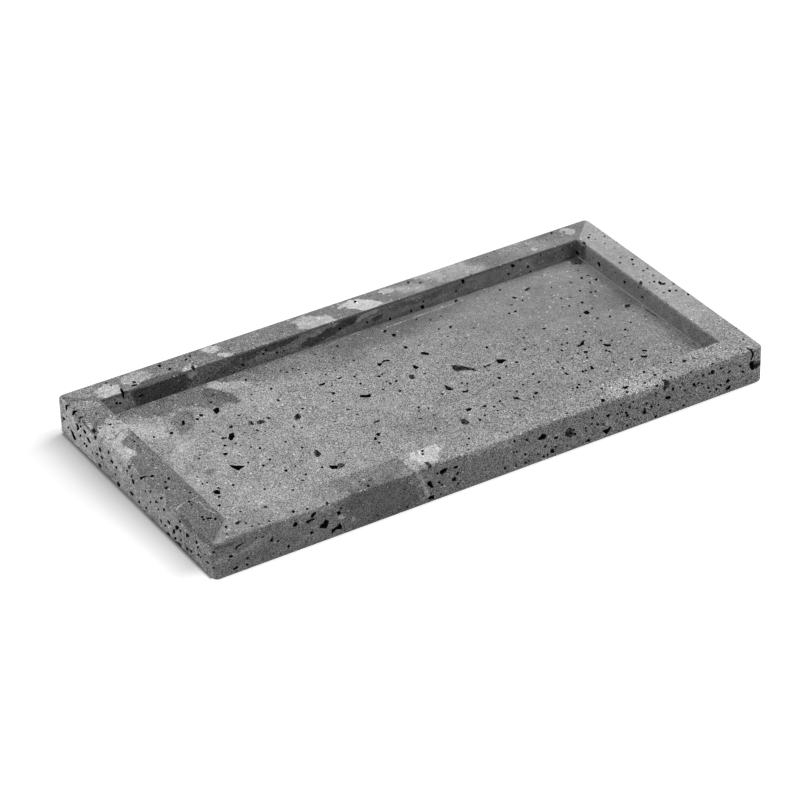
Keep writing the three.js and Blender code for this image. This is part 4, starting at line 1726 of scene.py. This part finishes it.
FRONT_STONE = StoneFinish(
    "front_stone_honed",
    tone=0.26,
    shift=Vector((90.0, 510.0, 77.0)),
    bedding=(Face.FRONT, 30.0),
    grain=0.8,
    calm_end=1.75,
    glints=0.16,
    marks=(
        # Painted shade: the whole front face darker than the rail's top, for the light that falls on it
        Patch(Face.FRONT, 480, 470, 300.0, 15.0, 0.2, 17.0, 1.2, 0.25, 0.3),
        Patch(Face.RIM, 300, 505, 20.0, 8.0, 0.3, soft=0.4),
        Patch(Face.RIM, 495, 445, 26.0, 8.0, 0.3, soft=0.5),
        Patch(Face.RIM, 368, 477, 20.0, 14.0, 0.195),
        Patch(Face.RIM, 393, 466, 6.0, 9.0, 0.165, soft=0.06, ragged=1.0),
        Patch(Face.FRONT, 384, 502, 22.0, 12.0, 0.12, depth=8.0),
        Patch(Face.FRONT, 360, 511, 8.0, 8.0, 0.145, depth=1.2, soft=0.5),
        VeinOrPaintedLightBand(Face.RIM, ((400, 454.5), (407, 457.5), (414, 468)), 2.0, 0.33, soft=0.2),
        Patch(Face.RIM, 426, 460, 5.5, 4.5, 0.44, soft=0.15, ragged=0.9),
        Patch(Face.RIM, 425, 453, 7.0, 9.5, 0.53, soft=0.08, ragged=0.9),
        VeinOrPaintedLightBand(Face.RIM, ((416, 449), (417, 457), (414, 465)), 0.7, 0.33),
        VeinOrPaintedLightBand(Face.FRONT, ((417, 472), (424, 483), (430, 499)), 1.0, 0.4),
        Patch(Face.RIM, 640, 387, 18.0, 8.0, 0.36, soft=0.4),
        Patch(Face.RIM, 730, 345, 12.0, 8.0, 0.235, soft=0.5),
        Patch(Face.RIM, 698, 364, 12.0, 8.0, 0.23, soft=0.5),
        VeinOrPaintedLightBand(Face.FRONT, ((214, 565), (238, 553), (260, 542)), 1.2, 0.3, soft=0.6),
        VeinOrPaintedLightBand(Face.FRONT, ((226, 570), (250, 558), (282, 541)), 1.4, 0.15, soft=0.6),
        VeinOrPaintedLightBand(Face.FRONT, ((209, 551), (222, 547), (236, 542.5)), 0.9, 0.1, 1.5, straight=True),
        Patch(Face.FRONT, 343, 516, 1.6, 1.2, 0.42),
        Patch(Face.FRONT, 353, 519, 1.4, 1.2, 0.4),
        Patch(Face.FRONT, 665, 403, 16.0, 8.0, 0.165, depth=1.2, soft=0.5),
    ),
)
RIGHT_STONE = StoneFinish(
    "right_stone_honed",
    tone=0.34,
    shift=Vector((33.0, 220.0, 301.0)),
    bedding=(Face.INNER_RIGHT, 40.0),
    grain=0.9,
    marks=(
        # Painted shade: the whole inner wall darker than the rail's top, for the light that falls on it
        Patch(Face.INNER_RIGHT, 640, 300, 70.0, 14.0, 0.25, depth=1.2, soft=0.3, ragged=0.4),
        Patch(Face.RIM, 722, 330, 14.0, 12.0, 0.27, soft=0.5),
        # Painted shade in the inner corner at the back right
        Patch(Face.INNER_RIGHT, 580, 250, 5.0, 7.0, 0.1, depth=1.2, soft=0.4),
        # Painted shade: a thin dark line at the rim's inner chamfer, as dark as the shaded wall below it
        Patch(Face.INNER_RIGHT, 646.3, 289.9, 400.0, 0.55, 0.22, 0.0, 0.9, 0.2, 0.0, True),
    ),
)
BACK_STONE = StoneFinish(
    "back_stone_honed",
    tone=0.19,
    shift=Vector((711.0, 61.0, 5.0)),
    bedding=(Face.INNER_BACK, 17.0),
    streaks=0.45,
    glints=0.22,
    marks=(
        # Painted light: the whole inner wall paler than the rail's base tone, easing the shade it stands in
        Patch(Face.INNER_BACK, 340, 330, 140.0, 13.0, 0.295, -17.0, 1.2, 0.3, 0.4),
        Patch(Face.INNER_BACK, 520, 270, 26.0, 12.0, 0.31, -17.0, 1.2, 0.5, 0.4),
        Patch(Face.INNER_BACK, 218, 368, 14.0, 9.0, 0.19, -17.0, 1.2, 0.3),
        Patch(Face.RIM, 80, 392, 10.0, 6.0, 0.27, soft=0.4),
        Patch(Face.RIM, 108, 391, 6.0, 6.5, 0.48, soft=0.1),
        Patch(Face.RIM, 138, 379, 7.0, 6.0, 0.38),
        Patch(Face.RIM, 190, 370, 3.2, 5.2, 0.47),
        Patch(Face.RIM, 211, 349, 4.6, 3.6, 0.5, soft=0.1),
        Patch(Face.RIM, 225, 354.5, 3.4, 2.0, 0.47, soft=0.1),
        Patch(Face.RIM, 314, 322, 11.0, 6.0, 0.47),
        Patch(Face.RIM, 360, 305.5, 10.5, 4.8, 0.6, soft=0.1),
        Patch(Face.RIM, 351, 311.5, 4.8, 2.1, 0.19),
        Patch(Face.RIM, 386, 291, 3.8, 2.5, 0.42, soft=0.1),
        Patch(Face.RIM, 410, 288, 9.0, 3.5, 0.34, soft=0.4),
        Patch(Face.RIM, 445, 272, 20.0, 9.0, 0.36, soft=0.4),
        Patch(Face.RIM, 468, 268, 8.0, 4.0, 0.38, soft=0.3),
        Patch(Face.RIM, 525, 247, 14.0, 7.0, 0.26, soft=0.4),
        Patch(Face.RIM, 534, 250, 1.4, 1.8, 0.5),
        Patch(Face.RIM, 568, 231.5, 4.0, 3.0, 0.45),
        Patch(Face.INNER_BACK, 161, 388, 15.5, 9.5, 0.075, -17.0, 5.0, 0.08, 0.5),
        Patch(Face.INNER_BACK, 115, 401, 7.0, 12.0, 0.36, -17.0, 1.2, 0.15, 0.5),
        Patch(Face.INNER_BACK, 369, 313, 7.5, 2.2, 0.6, 0.0, 1.5, 0.15, 0.6),
        Patch(Face.INNER_BACK, 378, 317, 4.5, 1.2, 0.1, depth=1.2),
        # Painted shade in the inner corner at the back right
        Patch(Face.INNER_BACK, 571, 251, 5.0, 6.0, 0.1, depth=1.2, soft=0.4),
        Patch(Face.INNER_BACK, 533, 266, 1.0, 2.4, 0.42, 30.0, 1.2),
        Patch(Face.INNER_BACK, 240, 361, 18.0, 2.5, 0.13, depth=1.2),
        VeinOrPaintedLightBand(Face.INNER_BACK, ((240, 357), (262, 349.5), (280, 344), (299, 336.5)), 2.0, 0.09, 1.2, 0.2),
        VeinOrPaintedLightBand(Face.INNER_BACK, ((284, 351), (300, 343), (316, 333)), 1.2, 0.36, 1.2),
        VeinOrPaintedLightBand(Face.INNER_BACK, ((304, 345.5), (321, 338), (338, 328.5), (355, 316)), 2.5, 0.085, 1.2, 0.2),
        VeinOrPaintedLightBand(Face.INNER_BACK, ((350, 334), (384, 322), (436, 304)), 1.8, 0.23, 1.2, 0.5),
        VeinOrPaintedLightBand(Face.INNER_BACK, ((392, 309), (420, 300), (446, 289)), 1.8, 0.17, 1.2),
        Patch(Face.INNER_BACK, 553, 257, 12.0, 3.0, 0.19, -17.0, 1.2, 0.5),
        # Painted shade: a thin dark line at the rim's inner chamfer, as dark as the shaded wall below it
        Patch(Face.INNER_BACK, 350, 317.1, 400.0, 0.55, 0.07, -17.0, 0.9, 0.2, 0.0, True),
    ),
)
LEFT_STONE = StoneFinish(
    "left_stone_honed",
    tone=0.15,
    shift=Vector((205.0, 15.0, 640.0)),
    bedding=(Face.LEFT, -40.0),
    glints=0.22,
    marks=(
        # Painted light: the whole outer face paler than the rail's top, for the light that falls on it
        Patch(Face.LEFT, 134, 490, 84.0, 15.0, 0.325, 40.0, 1.2, 0.25, 0.4),
        Patch(Face.LEFT, 78, 430, 22.0, 14.0, 0.49, 40.0, 1.2, 0.5),
        Patch(Face.LEFT, 195, 550, 18.0, 14.0, 0.25, 40.0, 1.2, 0.5),
        Patch(Face.LEFT, 116, 459, 8.0, 6.0, 0.48, 40.0, 1.2),
        Patch(Face.RIM, 195, 523, 10.0, 18.0, 0.13, soft=0.4),
        Patch(Face.RIM, 211, 522, 6.0, 12.0, 0.12, soft=0.4),
        Patch(Face.RIM, 92, 412, 9.0, 9.0, 0.185, soft=0.5),
        Patch(Face.RIM, 84, 405, 8.0, 3.6, 0.28),
        Patch(Face.RIM, 114, 430, 7.4, 11.0, 0.44, soft=0.1),
        Patch(Face.RIM, 122, 456, 5.6, 7.0, 0.48, soft=0.1),
        VeinOrPaintedLightBand(Face.RIM, ((108, 437), (115, 449), (122, 461)), 4.4, 0.44, soft=0.12),
        Patch(Face.RIM, 131, 440, 3.2, 6.5, 0.165, soft=0.1, ragged=0.8),
        VeinOrPaintedLightBand(Face.RIM, ((102, 425), (112, 424.5), (123, 421.5)), 0.5, 0.2),
        VeinOrPaintedLightBand(Face.RIM, ((97, 439), (104, 436), (107, 439), (115, 438.5), (119, 433), (126, 430)), 0.5, 0.2),
        VeinOrPaintedLightBand(Face.RIM, ((173, 511), (188, 500), (197, 495)), 0.4, 0.34),
        VeinOrPaintedLightBand(Face.RIM, ((199, 501), (205, 508), (215, 512)), 0.4, 0.34),
        # Painted shade: a dark contact line along the lower edge of the left-hand end
        VeinOrPaintedLightBand(
            Face.LEFT_LOW_EDGE, ((64, 433), (138, 505.5), (212, 578)),
            width=1.5, tone=0.03, depth=1.0, soft=0.3, ragged=0.3, straight=True,
        ),
        VeinOrPaintedLightBand(Face.LEFT_TOP_EDGE, ((81, 420), (92, 434)), 0.6, 0.08, 1.0, straight=True),
        VeinOrPaintedLightBand(Face.LEFT_TOP_EDGE, ((180, 518), (200, 538), (206, 546)), 0.6, 0.09, 1.0, straight=True),
    ),
)
# Pit linings: their near-black tones are partly the pits' own dirt and partly painted shade inside the pits
CRUST = LiningFinish("pit_crust_and_shade", 0.012, 0.0)
SPAR = LiningFinish("pit_spar", 0.03, 0.32)
GREY_ADHESIVE = AdhesiveFinish("grey_adhesive", 0.24)
PALE_ADHESIVE = AdhesiveFinish("pale_adhesive", 0.5)
FELT = FeltFinish()


# Pieces of the tray

@dataclass
class StoneBed:
    """What the stone pieces share: the tray's sizes and faces, the camera, the pits and their cutter."""

    sizes: TraySizes
    camera: PhotoCamera
    planes: dict[Face, Plane] = field(init=False)
    hollows: dict[Face, list[Hollow]] = field(init=False)
    cutter: PitCutter = field(init=False)
    linings: tuple[Material, ...] = field(init=False)

    def __post_init__(self) -> None:
        """Places the pits and models their forms."""
        self.planes = self.sizes.planes()
        self.hollows = {face: [] for face in Face}
        cavities: list[tuple[Face, Cavity]] = []
        for (lining, face), brinks in PITS.items():
            cavities += [(face, Cavity(brink, lining)) for brink in brinks]
        for (lining, face), pixels in DOTS.items():
            cavities += [(face, dot(face, pixel, lining)) for pixel in pixels]
        for face, cavity in cavities:
            self.hollows[face].append(cavity.placed(self.planes[face], self.camera))
        for scatter in SCATTERS:
            taken = self.hollows[scatter.face]
            for hollow in scatter.strewn(self.planes[scatter.face]):
                if hollow.clear_of(taken):
                    taken.append(hollow)
        self.cutter = PitCutter()
        self.linings = (CRUST.material(), SPAR.material())

    def on(self, *faces: Face) -> list[Hollow]:
        """The hollows of some faces."""
        return [hollow for face in faces for hollow in self.hollows[face]]

    def dress(self, piece: Piece, finish: Material, hollows: Sequence[Hollow]) -> None:
        """Dresses a piece, cuts its pits and shades it.

        Args:
            piece: the modelled piece.
            finish: its own material, which the linings of the pits follow.
            hollows: the pits that are cut out of it.
        """
        for material in (finish, *self.linings):
            piece.data.materials.append(material)
        self.cutter.cut(piece, hollows)
        smooth(piece, STONE_ANGLE)

    def stone(self, finish: StoneFinish) -> Material:
        """The material of a stone finish, with its marks on the tray's faces."""
        return finish.material(self.planes, self.camera)


SLAB_FACES = (Face.FLOOR, Face.SLAB_UNDERSIDE)
RAIL_FACES = tuple(face for face in Face if face not in SLAB_FACES)
STONE_ANGLE = 32.0  # degrees below which stone is shaded smooth
SEEN_RISE = 0.36  # mm that the adhesive round the slab stands above its node where it shows
HIDDEN_RISE = 0.1  # and where it does not


def add_piece(piece: Piece, node: str) -> None:
    """Lets a finished piece ride on the tray and stand for its node.

    Args:
        piece: the finished piece.
        node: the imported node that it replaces.
    """
    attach(piece, "root")
    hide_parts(node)
    LOG.info("%s: %d faces", piece.name, len(piece.data.polygons))


@dataclass
class Rail:
    """One side of the rim: a stone bar cut to a mitre at both ends."""

    side: Side
    bed: StoneBed
    finish: StoneFinish

    def _mitres(self) -> list[tuple[Vector, Vector]]:
        """Places both mitres.

        Returns:
            A point in mm and the outward normal of each.
        """
        sizes = self.bed.sizes
        along, across = sizes.reach(self.side)
        gap = sizes.mitre_joint / 2 * math.sqrt(2)
        inner = Vector((along - sizes.rail_width - gap, -across + sizes.rail_width, 0.0))
        made = []
        for hand in (-1, 1):
            point = Vector((hand * inner.x, inner.y, 0.0))
            normal = Vector((hand, 1.0, 0.0)).normalized()
            made.append((self.side.turned(point), self.side.turned(normal)))
        return made

    def _touches(self, hollow: Hollow) -> bool:
        """Finds whether a hollow reaches into the rail.

        Args:
            hollow: the hollow.

        Returns:
            Whether it does.
        """
        sizes = self.bed.sizes
        across = sizes.reach(self.side)[1]
        spot = self.side.turned_back(hollow.middle)
        inward = spot.y + across - sizes.rail_width
        return inward < hollow.radius and all(
            (hollow.middle - point).dot(normal) < hollow.radius for point, normal in self._mitres()
        )

    def build(self) -> None:
        """Models the rail, dresses it and cuts its pits."""
        sizes = self.bed.sizes
        across = sizes.reach(self.side)[1]
        wall = self.side.turned(Vector((0.0, -across + sizes.rail_width, 0.0)))
        inward = self.side.turned(Vector((0.0, 1.0, 0.0)))
        piece = rounded_blank(f"{self.side.label}_rail_stone", sizes)
        with edit_mode(piece):
            keep_below(wall, inward)
            easing = wall + UP * (sizes.rim_top - sizes.rim_easing)
            keep_below(easing, (inward + UP).normalized())
            for point, normal in self._mitres():
                keep_below(point, normal)
            close_up()
        hollows = [hollow for hollow in self.bed.on(*RAIL_FACES) if self._touches(hollow)]
        self.bed.dress(piece, self.bed.stone(self.finish), hollows)
        add_piece(piece, f"{self.side.label}_rail")


@dataclass
class FloorSlab:
    """The stone floor, inset between the rails."""

    bed: StoneBed
    finish: StoneFinish
    arris: float = 0.3
    arris_steps: int = 2

    def build(self) -> None:
        """Models the slab, dresses it and cuts its pits."""
        sizes = self.bed.sizes
        inset = sizes.rail_width + sizes.slab_joint
        reach = sizes.half - Vector((inset, inset, 0.0))
        low = Vector((-reach.x, -reach.y, sizes.slab_bottom))
        high = Vector((reach.x, reach.y, sizes.floor_top))
        piece = add_block("floor_slab_stone", low, high)
        with edit_mode(piece):
            select_edges(piece, lambda first, second: True)
            bevel(self.arris, self.arris_steps)
            close_up()
        self.bed.dress(piece, self.bed.stone(self.finish), self.bed.on(*SLAB_FACES))
        add_piece(piece, "floor_slab")


@dataclass
class MitreBond:
    """The adhesive in the mitre at the right-hand end of a side, flush with the stone all round."""

    side: Side
    bed: StoneBed
    material: Material

    @property
    def node(self) -> str:
        """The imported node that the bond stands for."""
        corners = {Side.FRONT: "front_right", Side.RIGHT: "back_right",
                   Side.BACK: "back_left", Side.LEFT: "front_left"}
        return f"mitre_bond_{corners[self.side]}"

    def build(self) -> None:
        """Models the bond from the tray's outer form, dresses it and cuts the pits that cross it."""
        sizes = self.bed.sizes
        along, across = sizes.reach(self.side)
        corner = Vector((along - sizes.rail_width, -across + sizes.rail_width, 0.0))
        start = self.side.turned(corner)
        aside = self.side.turned(Vector((1.0, 1.0, 0.0)).normalized())
        inward = self.side.turned(Vector((-1.0, 1.0, 0.0)).normalized())
        half = sizes.mitre_joint / 2 - sizes.fit_clearance
        piece = rounded_blank(f"{self.node}_adhesive", sizes)
        with edit_mode(piece):
            keep_below(start + aside * half, aside)
            keep_below(start - aside * half, -aside)
            keep_below(start, inward)
            easing = start + UP * (sizes.rim_top - sizes.rim_easing)
            keep_below(easing, (inward + UP * math.sqrt(2)).normalized())
            close_up()
        hollows = [
            hollow
            for hollow in self.bed.on(*RAIL_FACES)
            if abs((hollow.middle - start).dot(aside)) < hollow.radius + half
            and (hollow.middle - start).dot(inward) < hollow.radius
        ]
        self.bed.dress(piece, self.material, hollows)
        add_piece(piece, self.node)


@dataclass
class SlabBond:
    """The adhesive between the slab and one rail, a thin strip with a slightly wavy top."""

    side: Side
    material: Material
    rise: float  # mm that the strip's top stands above its node's
    waves: int = 80
    wave: float = 0.03

    def build(self) -> None:
        """Models the strip on its node's box and dresses it."""
        node = f"slab_bond_{self.side.label}"
        low, high = (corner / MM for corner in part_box(node))
        axis = 0 if self.side in (Side.FRONT, Side.BACK) else 1
        piece = add_block(f"{node}_adhesive", low, high)
        with edit_mode(piece):
            select_edges(piece, lambda first, second: abs((first - second)[axis]) > LEVEL)
            bpy.ops.mesh.subdivide(number_cuts=self.waves)
            select_edges(piece, lambda first, second: min(first.z, second.z) > high.z - LEVEL)
            bpy.ops.transform.translate(value=UP * (self.rise * MM))
            bpy.ops.transform.vertex_random(offset=self.wave * MM, uniform=1.0, seed=self.side.value)
            close_up()
        piece.data.materials.append(self.material)
        add_piece(piece, node)


@dataclass
class FootPads:
    """The felt pads, of which one is modelled and the others are copies."""

    material: Material
    sides: int = 48
    softening: float = 0.3
    softening_steps: int = 3
    press_inset: float = 1.0  # mm from a pad's edge to its pressed middle
    press: float = 0.08  # mm that the middle is pressed in
    smooth_angle: float = 40.0

    def _pad(self, name: str, low: Vector, high: Vector) -> Piece:
        """Models one pad in a box, with softened edges and a pressed middle.

        Args:
            name: the new object's name.
            low: the lowest corner of its box in mm.
            high: the highest corner in mm.

        Returns:
            The new object.
        """
        deselect_all()
        bpy.ops.mesh.primitive_cylinder_add(
            vertices=self.sides,
            radius=(high.x - low.x) / 2 * MM,
            depth=(high.z - low.z) * MM,
            location=(low + high) / 2 * MM,
        )
        pad = bpy.context.object
        pad.name = name
        bpy.ops.object.transform_apply(location=True, rotation=True, scale=True)
        with edit_mode(pad):
            select_edges(pad, lambda first, second: abs(first.z - second.z) < LEVEL)
            bevel(self.softening, self.softening_steps)
            bpy.ops.mesh.select_mode(type="FACE")
            bpy.ops.mesh.select_all(action="DESELECT")
            mesh = bmesh.from_edit_mesh(pad.data)
            for face in mesh.faces:
                face.select_set(len(face.verts) == self.sides and face.normal.z < 0.0)
            bmesh.update_edit_mesh(pad.data)
            bpy.ops.mesh.inset(thickness=self.press_inset * MM)
            bpy.ops.transform.translate(value=UP * (self.press * MM))
            close_up()
        return pad

    def build(self) -> None:
        """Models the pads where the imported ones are."""
        nodes = [f"foot_pad_{end}_{hand}" for end in ("front", "back") for hand in ("left", "right")]
        low, high = (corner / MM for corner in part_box(nodes[0]))
        first = self._pad(f"{nodes[0]}_felt", low, high)
        first.data.materials.append(self.material)
        smooth(first, self.smooth_angle)
        made = [first]
        for node in nodes[1:]:
            copy = first.copy()
            copy.data = first.data.copy()
            copy.name = f"{node}_felt"
            copy.data.transform(Matrix.Translation(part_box(node)[0] - low * MM))
            bpy.context.collection.objects.link(copy)
            made.append(copy)
        for node, pad in zip(nodes, made):
            add_piece(pad, node)


@dataclass(frozen=True)
class Lamp:
    """A square lamp that faces the tray: its place and side in metres, and its power in watts."""

    name: str
    place: tuple[float, float, float]
    size: float
    power: float

    def add(self) -> None:
        """Adds the lamp to the scene."""
        light = bpy.data.lights.new(self.name, "AREA")
        light.size = self.size
        light.energy = self.power
        lamp = bpy.data.objects.new(self.name, light)
        lamp.location = self.place
        lamp.rotation_euler = (-Vector(self.place)).to_track_quat("-Z", "Y").to_euler()
        bpy.context.collection.objects.link(lamp)


@dataclass
class Studio:
    """A pale floor, soft lamps above, at the right and at the left, and a pale world."""

    ambient: float = 0.14
    floor_size: float = 8.0
    floor_tone: float = 0.8
    floor_glow: float = 0.3
    front_glow: float = 0.6  # more of it in front of the tray: painted light that wipes out the tray's shadow there
    shadow_depth: float = 0.08  # less of it close beside the tray's left-hand end: painted shadow
    shadow_fade: float = 0.16  # more of it there towards the front: painted light that fades that shadow
    # Where these start and where they are full, in mm along or across the tray
    front_along: Span = (-170.0, -145.0)
    front_across: Span = (-55.0, -72.0)
    left_along: Span = (-146.0, -152.0)
    close_along: Span = (-166.0, -152.0)
    close_across: Span = (100.0, 70.0)
    fade_across: Span = (40.0, -60.0)
    # The same for the glow held back underneath, a painted dark contact line, which fades along the tray
    under_left: Span = (-150.5, -148.5)
    under_front: Span = (-71.0, -69.0)
    under_back: Span = (76.0, 74.0)
    under_fade: Span = (0.0, -40.0)
    lamps: tuple[Lamp, ...] = (
        Lamp("top_lamp", (0.1, 0.0, 1.3), 0.6, 6.0),
        Lamp("side_lamp", (1.7, 0.06, 2.2), 1.6, 48.0),
        Lamp("fill_lamp", (-1.4, 0.05, 0.5), 1.0, 6.0),
    )

    @staticmethod
    def _seen(shader: Shader) -> Value:
        """Tells the rays that show the picture from those that light it.

        Args:
            shader: the node tree.

        Returns:
            1 for rays from the camera and those that gloss or glass sends on, 0 for others.
        """
        camera, glossy, glass = (
            shader.node("LightPath", output=f"Is {kind} Ray")
            for kind in ("Camera", "Glossy", "Transmission")
        )
        return (camera + glossy + glass) > 0.5

    def _floor(self) -> None:
        """Adds the floor, which glows to white for the camera and keeps the tray's shadow, with painted
        light in front, painted shadow at the left-hand end and a painted dark line underneath.
        """
        deselect_all()
        bpy.ops.mesh.primitive_plane_add(size=self.floor_size)
        floor = bpy.context.object
        floor.name = "studio_floor"
        shader, material = Shader.of_material("studio_floor")
        place = shader.millimetres()
        along, across = shader.level(place)
        # Painted light in front of the tray and towards the front at the left; painted shadow close beside
        # the left-hand end
        in_front = along.step(*self.front_along) * across.step(*self.front_across)
        left = along.step(*self.left_along)
        close = left * along.step(*self.close_along) * across.step(*self.close_across)
        nearer = left * across.step(*self.fade_across)
        glow = self.floor_glow + in_front * self.front_glow
        glow = glow - close * self.shadow_depth + nearer * self.shadow_fade
        # Painted shade: no glow within the tray's footprint, which leaves a dark contact line under its
        # edges
        under = along.step(*self.under_left) * across.step(*self.under_front)
        under = under * across.step(*self.under_back) * along.step(*self.under_fade)
        glow = self._seen(shader) * glow * (1.0 - under)
        shader.surface(
            base_color=(self.floor_tone, self.floor_tone, self.floor_tone, 1.0),
            roughness=1.0,
            specular_ior_level=0.0,
            emission_color=shader.grey(glow),
            emission_strength=1.0,
        )
        floor.data.materials.append(material)

    def build(self) -> None:
        """Adds the floor, the lamps and the world, and sets how the picture is shown."""
        self._floor()
        for lamp in self.lamps:
            lamp.add()
        world = bpy.data.worlds.new("studio_world")
        world.use_nodes = True
        bpy.context.scene.world = world
        shader = Shader(world.node_tree)
        strength = self.ambient + self._seen(shader) * (1.0 - self.ambient)
        background = world.node_tree.nodes["Background"]
        shader.feed(background.inputs["Color"], (1.0, 1.0, 1.0, 1.0))
        shader.feed(background.inputs["Strength"], strength)
        bpy.context.scene.view_settings.view_transform = "Standard"


def main() -> None:
    """Builds the tray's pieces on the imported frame, then the studio and the camera."""
    logging.basicConfig(level=logging.INFO, format="%(message)s")
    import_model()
    sizes = TraySizes.of_frame()
    camera = PhotoCamera()
    camera.place()
    bed = StoneBed(sizes, camera)
    FloorSlab(bed, FLOOR_STONE).build()
    grey_adhesive = GREY_ADHESIVE.material()
    pale_adhesive = PALE_ADHESIVE.material()
    for side, finish in zip(Side, (FRONT_STONE, RIGHT_STONE, BACK_STONE, LEFT_STONE)):
        Rail(side, bed, finish).build()
        MitreBond(side, bed, grey_adhesive).build()
        seen = side is Side.RIGHT  # the only seam whose adhesive shows as a pale line
        bond_material = pale_adhesive if seen else grey_adhesive
        SlabBond(side, bond_material, SEEN_RISE if seen else HIDDEN_RISE).build()
    bed.cutter.clear()
    FootPads(FELT.material()).build()
    Studio().build()


if __name__ == "__main__":
    main()
